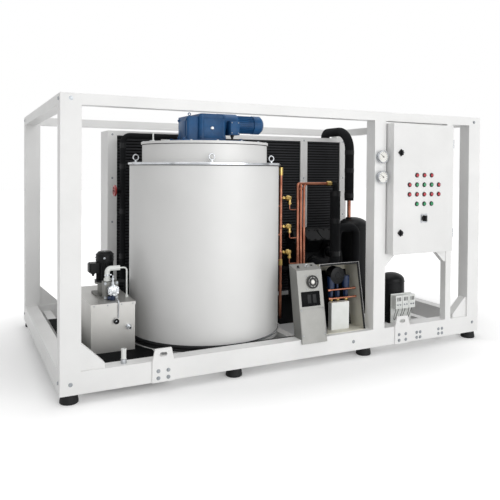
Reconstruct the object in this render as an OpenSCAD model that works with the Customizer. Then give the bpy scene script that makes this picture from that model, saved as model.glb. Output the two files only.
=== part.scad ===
// Flake ice machine: a welded frame on rubber feet that carries an ice drum with a scraper
// rotor and its gear motor, a water tank with a pump, an air-cooled condenser with fans,
// the compressor with its lines, and a control cabinet with a hinged door.
// Every module is drawn from the frame's lower front left corner: x runs along the front,
// y runs to the back and z is measured from the underside of the sills.

/* [Frame] */
// Height of a rubber foot
foot_h = 50; // [30:1:80]
// Diameter of a foot at the floor
foot_d = 100; // [70:1:110]
// Height of the base sills
sill_h = 120; // [100:1:150]
// Width of the base sills, and depth of the corner posts
sill_d = 90; // [80:1:110]
// Width of the corner posts along the front
post_w = 110; // [90:1:140]
// Height of the top rails
rail_h = 60; // [50:1:90]
// Width of the top rails
rail_d = 80; // [60:1:90]
// Wall of the frame's tubes
tube_wall = 5; // [3:0.5:8]
// Height of the beams between the sills
beam_h = 70; // [50:1:90]
// Width of those beams
beam_w = 60; // [50:1:80]
// Thickness of the floor plates on the beams
plate_t = 6; // [3:0.5:10]
// Thickness of a lifting lug
lug_t = 10; // [6:1:16]
// Width of a lifting lug
lug_w = 128; // [110:1:150]
// Width of the front post beside the cabinet
mid_w = 96; // [80:1:120]
// Side of the slim post on the cabinet's other side
slim_w = 52; // [40:1:70]
// Distance from the slim post to the right end
right_bay = 277; // [250:1:400]

/* [Ice drum] */
// Distance from the left end to the drum
drum_left = 565; // [540:1:700]
// Distance from the front plane to the drum
drum_front = 150; // [140:1:250]
// Outside diameter of the drum
drum_d = 1040; // [1000:1:1200]
// Height of the drum with its top ring
drum_h = 1176; // [1100:1:1300]
// Bore of the evaporator
bore_d = 860; // [820:1:880]
// Wall of the evaporator
evap_wall = 14; // [8:1:20]
// Outside diameter of the collar
collar_d = 870; // [800:1:920]
// Height of the collar with its lid
collar_h = 139; // [110:1:180]
// Sheet of the collar
collar_wall = 6; // [3:0.5:10]
// Thickness of the drum's rings and of the lid
ring_t = 16; // [10:1:24]
// How far the rings stand out past the walls
rim = 8; // [4:1:14]
// Diameter of the rotor shaft
shaft_d = 70; // [50:1:90]
// Number of cutter discs on the ice blade
cutters = 14; // [8:1:20]
// Diameter of the ice blade
blade_d = 110; // [90:1:130]
// Gap from the ice blade to the evaporator wall
blade_gap = 6; // [3:1:12]
// Ring diameter of a lifting eye
eye_d = 46; // [36:1:60]

/* [Gear motor] */
// Height of the gearbox
gear_h = 198; // [170:1:210]
// Length of the gearbox housing
gear_l = 200; // [180:1:240]
// Depth of the gearbox housing
gear_w = 250; // [220:1:280]
// Diameter of the drive motor
drive_d = 144; // [120:1:150]
// Length of the drive motor
drive_l = 222; // [180:1:260]

/* [Water] */
// Distance from the left end to the tank
tank_left = 245; // [225:1:255]
// Distance from the front plane to the tank
tank_front = 410; // [380:1:450]
// Width of the tank
tank_w = 270; // [240:1:280]
// Depth of the tank
tank_depth = 600; // [500:1:650]
// Height of the tank
tank_h = 298; // [260:1:360]
// Sheet of the tank and of its lid
tank_t = 3; // [2:0.5:5]
// Diameter of the pump motor
pump_d = 114; // [90:1:130]
// Length of the pump motor
pump_l = 196; // [160:1:240]
// Diameter of the plastic water pipe
water_d = 32; // [25:1:40]
// Radius of the water inlet's hose end
inlet_r = 12; // [10:0.5:16]

/* [Condenser] */
// Free space from the drum to the condenser
cond_gap = 230; // [210:1:350]
// Distance from the left end to the condenser
cond_left = 575; // [500:1:650]
// Distance from the right end to the condenser
cond_right = 195; // [150:1:250]
// Depth of the finned coil
coil_t = 130; // [100:1:160]
// Spacing of the coil's rows
row_pitch = 24; // [20:1:40]
// Depth of the fan box behind the coil
fan_box = 110; // [108:1:140]
// Diameter of a fan
fan_d = 620; // [560:1:640]
// Running gap between a fan and its ring
fan_gap = 8; // [5:1:15]
// Width of the casing's upright strips
strip_w = 72; // [50:1:90]

/* [Lines] */
// Outside diameter of the heavy insulated lines
line_d = 80; // [60:1:90]
// Outside diameter of the drum's insulated line
drum_line_d = 42; // [34:1:50]
// Diameter of the copper tubes
copper_d = 22; // [16:1:28]
// Diameter of the front hoses
hose_d = 20; // [14:1:22]

/* [Control boxes] */
// Space from the drum to the front post
valve_bay = 444; // [420:1:520]
// Width of the slanted controller box
ctrl_w = 188; // [160:1:200]
// Depth of the controller box
ctrl_d = 96; // [80:1:110]
// Height of the controller box above the sill
ctrl_h = 430; // [380:1:480]
// Width of the open valve box
vbox_w = 322; // [300:1:345]
// Depth of the valve box
vbox_d = 165; // [150:1:180]
// Height of the valve box above the sill
vbox_h = 450; // [440:1:520]
// Sheet of both boxes
box_t = 3; // [2:0.5:5]

/* [Cabinet] */
// Width of the cabinet
cab_w = 540; // [500:1:600]
// Height of the cabinet
cab_h = 893; // [860:1:950]
// Depth of the cabinet behind its door
cab_d = 205; // [170:1:240]
// Thickness of the door
door_t = 25; // [20:1:30]
// How far the door stands in front of the frame
door_proud = 70; // [60:1:90]
// Sheet of the cabinet and the door
cab_t = 3; // [2:0.5:4]
// Spacing of the lamps on the door
lamp_pitch = 66; // [58:1:72]
// Diameter of a lamp's and a button's bezel
bezel_d = 30; // [26:1:36]
// Travel of a start button
button_travel = 4; // [3:0.5:5]

/* [Hidden] */
$fn = 64;
// Clearances
run = 0.05;
clear = 0.3;
door_gap = 1;
cab_gap = 8;
joint_gap = 12;

// Drum
drum_r = drum_d / 2;
drum_x = drum_left + drum_r;
drum_y = drum_front + drum_r;
drum_z = beam_h;
drum_top = drum_z + drum_h;
evap_r = bore_d / 2;
lid_z = drum_top + collar_h - ring_t;
collar_top = drum_top + collar_h;
shaft_r = shaft_d / 2;
blade_r = blade_d / 2;
blade_orbit = evap_r - blade_gap - blade_r;
blade_low = drum_z + 130;
blade_high = drum_top - 150;
hub_h = 60;
arm_t = 30;
cut_gap = 5;
cover_l = 78;
drive_x = 0.55 * gear_l + 106;

// Frame
mid_x = drum_x + drum_r + valve_bay;
cab_x = mid_x + mid_w + cab_gap;
slim_x = cab_x + cab_w + cab_gap;
frame_l = slim_x + slim_w + right_bay;
cond_y = drum_y + drum_r + cond_gap;
cond_back = cond_y + coil_t + fan_box;
guard_reach = 24;
rear_gap = 16;
frame_w = cond_back + guard_reach + rear_gap + sill_d;
head_gap = 17;
frame_h = collar_top + gear_h + head_gap;
rail_z = frame_h - rail_h;
drive_z = frame_h - collar_top - drive_d / 2 - 3;

// Beams run from the front sill to the back sill
left_beam_x = sill_d + joint_gap + beam_w;
drum_beam = drum_r - 45;
beam_x = [left_beam_x, drum_x - drum_beam, drum_x + drum_beam, mid_x + mid_w / 2, slim_x + slim_w / 2];
stretcher_y = [220, 380];
stretcher_w = 50;
plate_y = drum_y - 110;
floor_z = beam_h + plate_t;

// Door and cabinet
cab_top = rail_z - 17;
cab_z = cab_top - cab_h;
knob_h = 28;
proud = door_proud + knob_h;
door_face = -door_proud;
door_back = door_face + door_t;
cab_front = door_back + door_gap;
hinge_x = cab_x + cab_w + 8;
hinge_y = door_face + door_t / 2;
hinge_z = [cab_z + 100, cab_top - 160];
hinge_r = 7;
pin_r = 3;
knuckle_h = 30;
lamp_x = cab_x + cab_w / 2;
lamp_z = cab_z + 343;
lamp_rows = [[-1, 0, 1], [-2, -1, 0, 1, 2], [-2, -1, 0, 1, 2], [-1, 0, 1]];
stem_r = 11;
bezel_h = 6;
latch_x = cab_x + 60;
latch_z = [cab_z + 148, cab_top - 200];
latch_r = 6;
switch_z = cab_z + 242;

// Tank and pump
tank_top = floor_z + tank_h;
lid_top = tank_top + tank_t;
pump_x = tank_left + 0.55 * tank_w;
pump_y = tank_front + tank_depth / 2;
lantern_h = 84;
pump_z = lid_top + lantern_h;
block_y = pump_y - 150;
block = [90, 60, 110];
riser_h = 80;
return_x = tank_left + tank_w - 14;
inlet_x = 350;
inlet_h = 78;

// Condenser
cond_z = beam_h;
cond_top = frame_h - 100;
row_cut = 22;
cond_l = frame_l - cond_left - cond_right;
fan_count = 3;
fan_pitch = cond_l / fan_count;
fan_z = (cond_z + cond_top) / 2;
fan_blades = 5;
fan_hub_d = 150;
fan_shaft_r = 12;
back_plate_t = 4;

// Lines
head_x = drum_x + drum_r + 113;
head_y = drum_y + 30;
head_top = drum_top - 26;
branch_z = [head_top - 233, head_top - 450, head_top - 645];
riser_x = head_x + 150;
riser_pitch = 28;
riser_top = head_top - 125;
suction_x = mid_x + 166;
suction_y = head_y;
suction_top = riser_top - 60;
comp_x = mid_x + 61;
comp_l = 400;
comp_r = 160;
comp_y = suction_y + 480;
comp_z = floor_z + 344;
rec_x = mid_x + 641;
rec_y = comp_y - 80;
rec_r = 135;
rec_h = 709;
sep_x = cab_x + 329;
sep_y = stretcher_y[0] + 110;
sep_r = 94;
sep_h = 360;
discharge_z = cond_top + 50;
drum_line_x = drum_left + 85;
drum_line_y = cond_y - 170;
drum_line_z = cond_top - 45;
wheel_z = drum_line_z - 420;
wheel_d = 84;

// Control boxes
ctrl_lean = 10;
ctrl_rise = 28;
vbox_lean = 11;
vbox_x = mid_x - 3 * joint_gap - vbox_w;
ctrl_x = vbox_x - 2 * joint_gap - ctrl_w;
ctrl_y = -10;
vbox_y = 40;
lip_h = 26;

// The whole stands with its footprint centred on the origin
front_y = -(frame_w + lug_t - proud) / 2;

// Layout of the smaller pieces
foot_x = [for (i = [0:3]) post_w / 2 + i * (frame_l - post_w) / 3];
lug_x = [drum_left - 66, cab_x + 79];
lug_h = sill_h + 70;
slot = [46, 24];
base_t = 20;
hub_r = 70;
eye_wire = 8;
end_bay = 433;
front_t = 12;
end_plate = 10;
motor_l = 50;
hub_l = 48;
fan_tilt = 18;
motor_r = 58;
hose_cut = drum_r + rim + hose_d + 16;
gauge_z = [cab_top - 229, cab_top - 366];
gauge_r = 42;
hose_orbit = drum_r + hose_d / 2 + 2;
hose_z = [beam_h + hose_d / 2 + clear, beam_h + 1.5 * hose_d + 2 * clear];
hose_rise = [120, 85];
gusset_leg = [130, 140];
gusset_end = 25;
bracket = [90, 85];

// Places a sub-part from the frame's corner
module at_frame() translate([-frame_l / 2, front_y, foot_h]) children();

// Rectangular tube, open at both ends along one axis
module box_tube(size, axis, wall = tube_wall)
    difference() {
        cube(size);
        translate([for (i = [0:2]) i == axis ? -1 : wall])
            cube([for (i = [0:2]) i == axis ? size[i] + 2 : size[i] - 2 * wall]);
    }

// Round bar from one point to another
module bar(p, q, d) {
    v = q - p;
    translate(p) rotate([0, acos(v[2] / norm(v)), atan2(v[1], v[0])]) cylinder(h = norm(v), d = d);
}

// Upright ring or tube
module ring(outer, inner, h)
    difference() {
        cylinder(h = h, r = outer, $fn = 128);
        translate([0, 0, -1]) cylinder(h = h + 2, r = inner, $fn = 128);
    }

// Plate with round corners
module round_plate(size, r, h)
    linear_extrude(h) {
        translate([r, 0]) square([size[0] - 2 * r, size[1]]);
        translate([0, r]) square([size[0], size[1] - 2 * r]);
        for (x = [r, size[0] - r], y = [r, size[1] - r]) translate([x, y]) circle(r);
    }

// Directions along a pipe's route
function unit(v) = v / norm(v);
function bend_cut(p, i, r) = r * tan(bend_angle(p, i) / 2);
function bend_angle(p, i) = acos(max(-1, min(1, unit(p[i] - p[i - 1]) * unit(p[i + 1] - p[i]))));
function pipe_start(p, i, r) = i == 0 ? p[0] : p[i] + unit(p[i + 1] - p[i]) * bend_cut(p, i, r);
function pipe_end(p, i, r) =
    i == len(p) - 2 ? p[i + 1] : p[i + 1] - unit(p[i + 1] - p[i]) * bend_cut(p, i + 1, r);

// Pipe of straight runs with round bends at its corners
module pipe(p, d, r) {
    for (i = [0:len(p) - 2]) bar(pipe_start(p, i, r), pipe_end(p, i, r), d);
    for (i = [1:1:len(p) - 2]) {
        u = unit(p[i] - p[i - 1]);
        v = unit(p[i + 1] - p[i]);
        out = unit(v - u * (u * v));
        n = cross(out, u);
        c = p[i] - u * bend_cut(p, i, r) + out * r;
        multmatrix([[-out[0], u[0], n[0], c[0]], [-out[1], u[1], n[1], c[1]], [-out[2], u[2], n[2], c[2]]])
            rotate_extrude(angle = bend_angle(p, i)) translate([r, 0]) circle(d = d);
    }
}

// Upright plate: an outline in x and z with a thickness along y
module upright(points, t) translate([0, t, 0]) rotate([90, 0, 0]) linear_extrude(t) polygon(points);

// Cylinder with its axis along x, or along y
module bar_x(h, r) rotate([0, 90, 0]) cylinder(h = h, r = r);
module bar_y(h, r) rotate([-90, 0, 0]) cylinder(h = h, r = r);

// Section of an upright cover, extruded along x from an outline in y and z
module along_x(l, points) rotate([90, 0, 90]) linear_extrude(l) polygon(points);

module sills() color("white") at_frame() {
    for (y = [0, frame_w - sill_d]) translate([post_w, y, 0])
        box_tube([frame_l - 2 * post_w, sill_d, sill_h], 0);
    for (x = [0, frame_l - sill_d]) translate([x, sill_d, 0])
        box_tube([sill_d, frame_w - 2 * sill_d, sill_h], 1);
}

module corner_posts() color("white") at_frame()
    for (x = [0, frame_l - post_w], y = [0, frame_w - sill_d]) translate([x, y, 0])
        difference() {
            cube([post_w, sill_d, frame_h]);
            translate([tube_wall, tube_wall, -1])
                cube([post_w - 2 * tube_wall, sill_d - 2 * tube_wall, frame_h - tube_wall + 1]);
        }

module top_rails() color("white") at_frame() translate([0, 0, rail_z]) {
    for (y = [0, frame_w - rail_d]) translate([post_w, y, 0])
        box_tube([frame_l - 2 * post_w, rail_d, rail_h], 0);
    for (x = [0, frame_l - rail_d]) translate([x, sill_d, 0])
        box_tube([rail_d, frame_w - 2 * sill_d, rail_h], 1);
}

module mid_posts() color("white") at_frame() translate([0, 0, sill_h]) {
    translate([mid_x, 0, 0]) box_tube([mid_w, sill_d, rail_z - sill_h], 2);
    translate([slim_x, 0, 0]) box_tube([slim_w, slim_w, rail_z - sill_h], 2);
}

module cross_beams() color("white") at_frame() {
    for (x = beam_x) translate([x - beam_w / 2, sill_d, 0])
        box_tube([beam_w, frame_w - 2 * sill_d, beam_h], 1);
    for (y = stretcher_y) translate([beam_x[3] + beam_w / 2 + clear, y, 0])
        box_tube([beam_x[4] - beam_x[3] - beam_w - 2 * clear, stretcher_w, beam_h], 0);
}

// Floor plates beside the drum, and the bulkhead where the hoses end
module floor_plates() color("dimgray") at_frame() translate([0, 0, beam_h]) {
    left_x = left_beam_x - beam_w / 2;
    right_x = beam_x[2] - beam_w / 2;
    difference() {
        union() {
            translate([left_x, sill_d + clear, 0])
                cube([beam_x[1] - left_x, cond_y - sill_d - 2 * joint_gap, plate_t]);
            translate([right_x, plate_y, 0])
                cube([rec_x + rec_r + joint_gap - right_x, cond_y - plate_y - joint_gap, plate_t]);
        }
        translate([drum_x, drum_y, -1]) cylinder(h = plate_t + 2, r = hose_cut, $fn = 128);
    }
    translate([beam_x[3] - beam_w / 2, drum_y - hose_orbit - hose_d, 0])
        cube([plate_t, 2 * hose_d, 2 * hose_d + plate_t]);
}

// Corner gussets on the sills, and the brackets under the cabinet
module gussets() color("white") at_frame() {
    corner = [[0, 0], [gusset_leg[0], 0], [gusset_leg[0], gusset_end],
        [10, gusset_leg[1]], [0, gusset_leg[1]]];
    for (y = [15, frame_w - sill_d + 15]) {
        translate([post_w, y, sill_h]) upright(corner, sill_d - 30);
        translate([frame_l - post_w, y, sill_h]) mirror([1, 0, 0]) upright(corner, sill_d - 30);
    }
    rest = [[0, 0], [0, -bracket[1]], [14, -bracket[1]], [bracket[0], -10], [bracket[0], 0]];
    translate([mid_x + mid_w, 6, cab_z]) upright(rest, slim_w - 12);
    translate([slim_x, 6, cab_z]) mirror([1, 0, 0]) upright(rest, slim_w - 12);
}

module lifting_lugs() color("white") at_frame()
    for (x = lug_x, y = [0, frame_w + lug_t]) translate([x, y, 0]) rotate([90, 0, 0]) linear_extrude(lug_t)
        difference() {
            polygon([[0, 0], [lug_w, 0], [lug_w, sill_h], [lug_w - 16, lug_h], [16, lug_h], [0, sill_h]]);
            translate([lug_w / 2, sill_h + 36]) {
                square([slot[0] - slot[1], slot[1]], center = true);
                for (s = [-1, 1]) translate([s * (slot[0] - slot[1]) / 2, 0]) circle(d = slot[1]);
            }
        }

module feet() color("black") at_frame()
    for (x = foot_x, y = [sill_d / 2, frame_w - sill_d / 2])
        translate([x, y, -foot_h]) rotate_extrude()
        polygon([[0, 0], [foot_d / 2 - 4, 0], [foot_d / 2, 4], [foot_d / 2, 14],
            [sill_d / 2 - 1, foot_h], [0, foot_h]]);

// Bottom ring of the drum with the three arms of its lower bearing
module drum_base() color("silver") at_frame() translate([drum_x, drum_y, drum_z]) {
    ring(drum_r, evap_r, base_t);
    difference() {
        union() {
            cylinder(h = hub_h, r = hub_r);
            for (a = [90, 210, 330]) rotate(a)
                translate([0, -arm_t / 2, 0]) cube([evap_r + 6, arm_t, base_t]);
        }
        translate([0, 0, -1]) cylinder(h = hub_h + 2, r = shaft_r + run);
    }
}

module drum_jacket() color("gainsboro") at_frame() translate([drum_x, drum_y, drum_z + base_t])
    ring(drum_r, evap_r + evap_wall + clear, drum_h - base_t - ring_t);

module evaporator() color("silver") at_frame() translate([drum_x, drum_y, drum_z + base_t])
    ring(evap_r + evap_wall, evap_r, drum_h - base_t - ring_t);

module drum_top_ring() color("silver") at_frame() translate([drum_x, drum_y, drum_top - ring_t])
    ring(drum_r + rim, collar_d / 2 - collar_wall, ring_t);

module drum_collar() color("gainsboro") at_frame() translate([drum_x, drum_y, drum_top])
    ring(collar_d / 2, collar_d / 2 - collar_wall, collar_h - ring_t);

module collar_lid() color("silver") at_frame() translate([drum_x, drum_y, lid_z])
    ring(collar_d / 2 + rim, shaft_r + run, ring_t);

// One upright eye with its foot
module eye(d, wire = eye_wire) {
    cylinder(h = 4, d = d * 0.7);
    cylinder(h = 16, d = d * 0.35);
    translate([0, 0, 12 + d / 2]) rotate([90, 0, 0]) rotate_extrude() translate([d / 2 - wire / 2, 0])
        circle(d = wire);
}

module lifting_eyes() color("silver") at_frame() translate([drum_x, drum_y, drum_top]) {
    shelf = drum_r - collar_d / 2;
    for (a = [-107, -17, 73, 163])
        rotate(a) translate([drum_r - shelf / 2, 0, 0]) rotate(-a) eye(min(eye_d, 0.55 * shelf));
}

// Rotor: it turns on the drum's axis, with the blade at the back when at rest
module rotor_shaft() color("silver") at_frame() translate([drum_x, drum_y, 0]) {
    translate([0, 0, drum_z + 6]) cylinder(h = collar_top + gear_h * 0.6 - drum_z - 6, r = shaft_r);
    translate([0, 0, drum_z + hub_h + 1]) cylinder(h = 20, r = shaft_r + 14);
}

module blade_arms() color("silver") at_frame() translate([drum_x, drum_y, 0])
    for (z = [blade_low - arm_t - 4, blade_high + 4]) translate([0, 0, z]) difference() {
        union() {
            cylinder(h = arm_t, r = shaft_r + 18);
            translate([-arm_t / 2, 0, 0]) cube([arm_t, blade_orbit, arm_t]);
            translate([0, blade_orbit, 0]) cylinder(h = arm_t, r = 32);
        }
        translate([0, 0, -1]) cylinder(h = arm_t + 2, r = shaft_r + run);
        translate([0, blade_orbit, -1]) cylinder(h = arm_t + 2, r = 15 + run);
    }

// Helical ice blade, cut as toothed discs that step round its spindle
module ice_blade() color("silver") at_frame() translate([drum_x, drum_y + blade_orbit, 0]) {
    disc = (blade_high - blade_low) / cutters;
    teeth = 8;
    for (i = [0:cutters - 1]) translate([0, 0, blade_low + i * disc]) rotate(i * 9)
        linear_extrude(disc - cut_gap)
        polygon([for (k = [0:teeth - 1]) each [
            [blade_r * cos(k * 45), blade_r * sin(k * 45)],
            [0.74 * blade_r * cos(k * 45 + 14), 0.74 * blade_r * sin(k * 45 + 14)]]]);
    translate([0, 0, blade_low]) cylinder(h = blade_high - blade_low, r = 0.6 * blade_r);
    translate([0, 0, blade_low - arm_t]) cylinder(h = blade_high - blade_low + 2 * arm_t, r = 15);
}

module spray_arms() color("silver") at_frame() translate([drum_x, drum_y, drum_top - 84])
    difference() {
        union() {
            translate([0, 0, -24]) cylinder(h = 48, r = shaft_r + 22);
            for (a = [0:90:270]) rotate(a) {
                bar_x(evap_r - 30, 12);
                translate([evap_r - 44, 0, -27]) cylinder(h = 27, r = 8);
            }
        }
        translate([0, 0, -25]) cylinder(h = 50, r = shaft_r + run);
    }

// Bevel gearbox on the lid, with its covers and its motor adaptor
module gearbox() color("royalblue") at_frame() translate([drum_x, drum_y, collar_top]) {
    left = -0.45 * gear_l;
    right = left + gear_l;
    difference() {
        union() {
            translate([left - cover_l - 62, -gear_w / 2 - 25, 0])
                round_plate([gear_l + cover_l + 202, gear_w + 50], 30, 18);
            translate([left, -gear_w / 2, 0]) round_plate([gear_l, gear_w], 24, gear_h - 8);
            translate([left + 12, -gear_w / 2 + 12, 0]) round_plate([gear_l - 24, gear_w - 24], 18, gear_h);
            translate([left - cover_l, -0.38 * gear_w, 0])
                round_plate([cover_l + 30, 0.76 * gear_w], 14, gear_h - 20);
            translate([0, -gear_w / 2 - 8, 0.5 * gear_h]) bar_y(20, 13);
            translate([2, -gear_w / 2 - 4, 0.33 * gear_h]) bar_y(20, 9);
            translate([right - 20, 0, drive_z]) bar_x(drive_x - right + 20, drive_d / 2);
            translate([right + 26, -gear_w / 2, drive_z - 82]) cube([74, 0.4 * gear_w, 97]);
            for (x = [left - cover_l - 36, right + 110], y = [-1, 1]) translate([x, y * gear_w / 2, 18])
                cylinder(h = 12, r = 12, $fn = 6);
        }
        translate([0, 0, -1]) cylinder(h = 0.65 * gear_h, r = shaft_r + run);
    }
    translate([left - cover_l + 50, 0, gear_h - 23]) eye(0.52 * eye_d, 6);
}

// Finned motor along z, with a fan cowl at its top
module finned_motor(d, l, fins) {
    cylinder(h = 12, d = d + 12);
    translate([0, 0, 12]) linear_extrude(0.6 * l) {
        circle(d = d - 18);
        for (a = [0:360 / fins:359]) rotate(a) translate([0, -1.5]) square([d / 2 - 2, 3]);
    }
    translate([0, 0, 12 + 0.6 * l]) rotate_extrude()
        polygon([[0, 0], [d / 2, 0], [d / 2, 0.4 * l - 30], [d / 2 - 16, 0.4 * l - 12], [0, 0.4 * l - 12]]);
}

module gear_motor() color("royalblue") at_frame()
    translate([drum_x + drive_x, drum_y, collar_top + drive_z])
        rotate([0, 90, 0]) finned_motor(drive_d - 12, drive_l, 24);

module water_tank() color("silver") at_frame() translate([tank_left, tank_front, floor_z])
    difference() {
        cube([tank_w, tank_depth, tank_h]);
        translate([tank_t, tank_t, tank_t]) cube([tank_w - 2 * tank_t, tank_depth - 2 * tank_t, tank_h]);
    }

// Folded lid with a hole for the pump's dip pipe
module tank_lid() color("silver") at_frame() translate([tank_left, tank_front, tank_top]) {
    over = tank_t + clear;
    skirt = 16;
    difference() {
        translate([-over, -over, -skirt]) cube([tank_w + 2 * over, tank_depth + 2 * over, skirt + tank_t]);
        translate([-clear, -clear, -skirt - 1]) cube([tank_w + 2 * clear, tank_depth + 2 * clear, skirt + 1]);
        translate([pump_x - tank_left, pump_y - tank_front, -1]) cylinder(h = tank_t + 2, r = 20 + clear);
    }
}

// Pump foot with its lantern, dip pipe and outlet block
module pump_lantern() color("gray") at_frame() translate([pump_x, pump_y, lid_top]) {
    translate([-75, -75, 0]) round_plate([150, 150], 16, 12);
    cylinder(h = lantern_h, r = 46);
    translate([0, 0, lantern_h - 12]) cylinder(h = 12, r = pump_d / 2 + 8);
    translate([0, 0, -0.7 * tank_h]) cylinder(h = 0.7 * tank_h + 1, r = 20);
    translate([-block[0] / 2, block_y - pump_y - block[1] / 2, 0]) cube(block);
    translate([0, block_y - pump_y, 40]) bar_y(pump_y - block_y, 18);
}

module pump_motor() color("black") at_frame() translate([pump_x, pump_y, pump_z]) {
    finned_motor(pump_d, pump_l, 24);
    translate([-pump_d / 2 - 42, -36, 60]) cube([56, 72, 66]);
}

module water_pipe() color("white") at_frame() {
    x = pump_x - 18;
    low = lid_top + block[2];
    top = low + riser_h;
    end = x + 80;
    pipe([[x, block_y, low], [x, block_y, top], [end, block_y, top]], water_d, 24);
    pipe([[end - 1, block_y, top], [return_x, block_y, top], [return_x, block_y, lid_top]], 10, 22);
}

// Flow meter on the outlet block, plug and nozzle on the tank, and the water inlet on the sill
module tank_fittings() color("silver") at_frame() {
    translate([pump_x + 8, block_y - block[1] / 2 - 34, lid_top + 58]) {
        bar_y(34, 34);
        for (a = [0:60:300]) rotate([0, a, 0]) translate([0, 6, 30]) bar_y(20, 9);
        translate([0, 18, 30]) cylinder(h = 24, r = 10);
    }
    translate([tank_left + 150, tank_front - 14, floor_z + 190]) bar_y(14, 13);
    translate([tank_left + 228, tank_front - 45, floor_z + 148]) bar_y(45, 9);
    translate([tank_left + 228, tank_front - 12, floor_z + 148]) bar_y(12, 16);
    translate([inlet_x, sill_d / 2, sill_h]) {
        cylinder(h = 24, r = inlet_r + 5);
        cylinder(h = inlet_h, r = inlet_r);
    }
}

// Finned coil: a block whose front shows its rows
module condenser_coil() color("black") at_frame() {
    low = cond_z + strip_w / 2;
    high = cond_top - strip_w / 2 - clear;
    y = cond_y + front_t + clear;
    depth = coil_t - front_t - clear;
    rows = floor((high - low) / row_pitch);
    edge = (high - low - rows * row_pitch) / 2;
    translate([cond_left + end_plate + clear, y, low]) along_x(cond_l - 2 * end_plate - 2 * clear, concat(
        [[depth, 0], [depth, high - low], [0, high - low]],
        [for (i = [rows - 1:-1:0]) each [
            [0, edge + (i + 0.7) * row_pitch], [row_cut, edge + (i + 0.7) * row_pitch],
            [row_cut, edge + (i + 0.3) * row_pitch], [0, edge + (i + 0.3) * row_pitch]]],
        [[0, 0]]));
}

module condenser_casing() color("white") at_frame() translate([cond_left, cond_y, 0]) {
    inner = strip_w / 2;
    depth = coil_t + fan_box - back_plate_t;
    rise = cond_top - cond_z - 2 * inner - 2 * clear;
    for (z = [cond_z, cond_top - inner]) translate([0, 0, z]) cube([cond_l, depth, inner]);
    for (x = [0, end_bay, cond_l - end_bay - strip_w, cond_l - strip_w])
        translate([x, 0, cond_z + inner + clear]) cube([strip_w, front_t, rise]);
    for (x = [0, cond_l - end_plate]) translate([x, front_t + clear, cond_z + inner + clear])
        cube([end_plate, depth - front_t - clear, rise]);
}

// Places a piece at each fan's axis, on the outer face of the fan plate, with z to the rear
module at_fan(i) at_frame()
    translate([cond_left + (i - 0.5) * fan_pitch, cond_back, fan_z]) rotate([-90, 0, 0]) children();

module fan_plate() color("white") {
    ring_r = fan_d / 2 + fan_gap;
    difference() {
        at_frame() translate([cond_left, cond_back - back_plate_t, cond_z])
            cube([cond_l, back_plate_t, cond_top - cond_z]);
        for (i = [1:fan_count]) at_fan(i) translate([0, 0, -back_plate_t - 1])
            cylinder(h = back_plate_t + 2, r = ring_r, $fn = 128);
    }
    for (i = [1:fan_count]) at_fan(i) translate([0, 0, -70]) ring(ring_r + 4, ring_r, 70);
}

// Wire guards, each with the fan motor that it carries
module fan_guards() color("dimgray") for (i = [1:fan_count]) at_fan(i) {
    outer = fan_d / 2 + fan_gap + 18;
    linear_extrude(6) {
        for (k = [2:6]) difference() {
            circle(outer * k / 6, $fn = 96);
            circle(outer * k / 6 - 5, $fn = 96);
        }
        for (a = [0:45:315]) rotate(a) translate([motor_r + clear, -3]) square([outer - motor_r - 2, 6]);
    }
    translate([0, 0, -motor_l]) cylinder(h = motor_l + 18, r = motor_r);
    translate([0, 0, -motor_l - hub_l + 6]) cylinder(h = hub_l, r = fan_shaft_r);
}

// Axial fan: a hub on the motor's shaft with swept blades
module fan_rotor(i) color("black") at_fan(i) translate([0, 0, -motor_l - 2 - hub_l]) {
    r = fan_d / 2;
    difference() {
        cylinder(h = hub_l, d = fan_hub_d);
        translate([0, 0, 5]) cylinder(h = hub_l, r = fan_shaft_r + run);
    }
    for (k = [0:fan_blades - 1]) rotate(18 + k * 360 / fan_blades)
        translate([0, 0, hub_l / 2]) rotate([fan_tilt, 0, 0]) translate([0, 0, -2])
        linear_extrude(4) intersection() {
            circle(r, $fn = 96);
            polygon([[60, -40], [0.6 * r, -80], [r + 4, -50], [r + 4, 96], [0.7 * r, 50], [60, 36]]);
        }
}
module fan_rotor_1() fan_rotor(1);
module fan_rotor_2() fan_rotor(2);
module fan_rotor_3() fan_rotor(3);

// Copper header beside the drum, with a stub into the drum at each branch
module liquid_header() color("peru") at_frame() {
    translate([head_x, head_y, floor_z]) cylinder(h = head_top - 60 - floor_z, d = copper_d);
    wall = drum_x + sqrt(pow(drum_r, 2) - pow(head_y - drum_y, 2)) + 2 * clear;
    for (z = branch_z) translate([wall, head_y, z - 60]) bar_x(head_x - wall, 7);
}

module branch_valves() color("goldenrod") at_frame() {
    translate([head_x, head_y, head_top - 60]) cylinder(h = 60, d = copper_d + 8);
    for (z = branch_z) translate([head_x + copper_d / 2 + clear, head_y, z]) {
        bar_x(34, 7);
        translate([30, 0, 0]) bar_x(44, 15);
        translate([40, 0, 0]) rotate([0, 90, 0]) cylinder(h = 22, r = 20, $fn = 6);
        translate([66, 0, -50]) cylinder(h = 50, r = 11);
    }
    translate([suction_x - 84, suction_y, riser_top]) rotate([0, 90, 0]) cylinder(h = 44, r = 20, $fn = 6);
}

module copper_risers() color("peru") at_frame() {
    x3 = riser_x + 2 * riser_pitch;
    for (i = [0, 1]) translate([riser_x + i * riser_pitch, head_y, floor_z])
        cylinder(h = riser_top - floor_z, d = copper_d);
    pipe([[x3, head_y, floor_z], [x3, head_y, riser_top], [suction_x - 84, head_y, riser_top]], copper_d, 30);
    translate([riser_x, head_y, riser_top - 40]) bar_x(2 * riser_pitch, 8);
    valve_x = head_x + copper_d / 2 + clear + 66;
    for (z = branch_z)
        pipe([[valve_x, head_y, z - 50], [valve_x, head_y, z - 90], [riser_x, head_y, z - 90]], 9, 14);
    translate([rec_x - 50, rec_y, floor_z + rec_h]) cylinder(h = 148, d = copper_d + 10);
}

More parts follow.
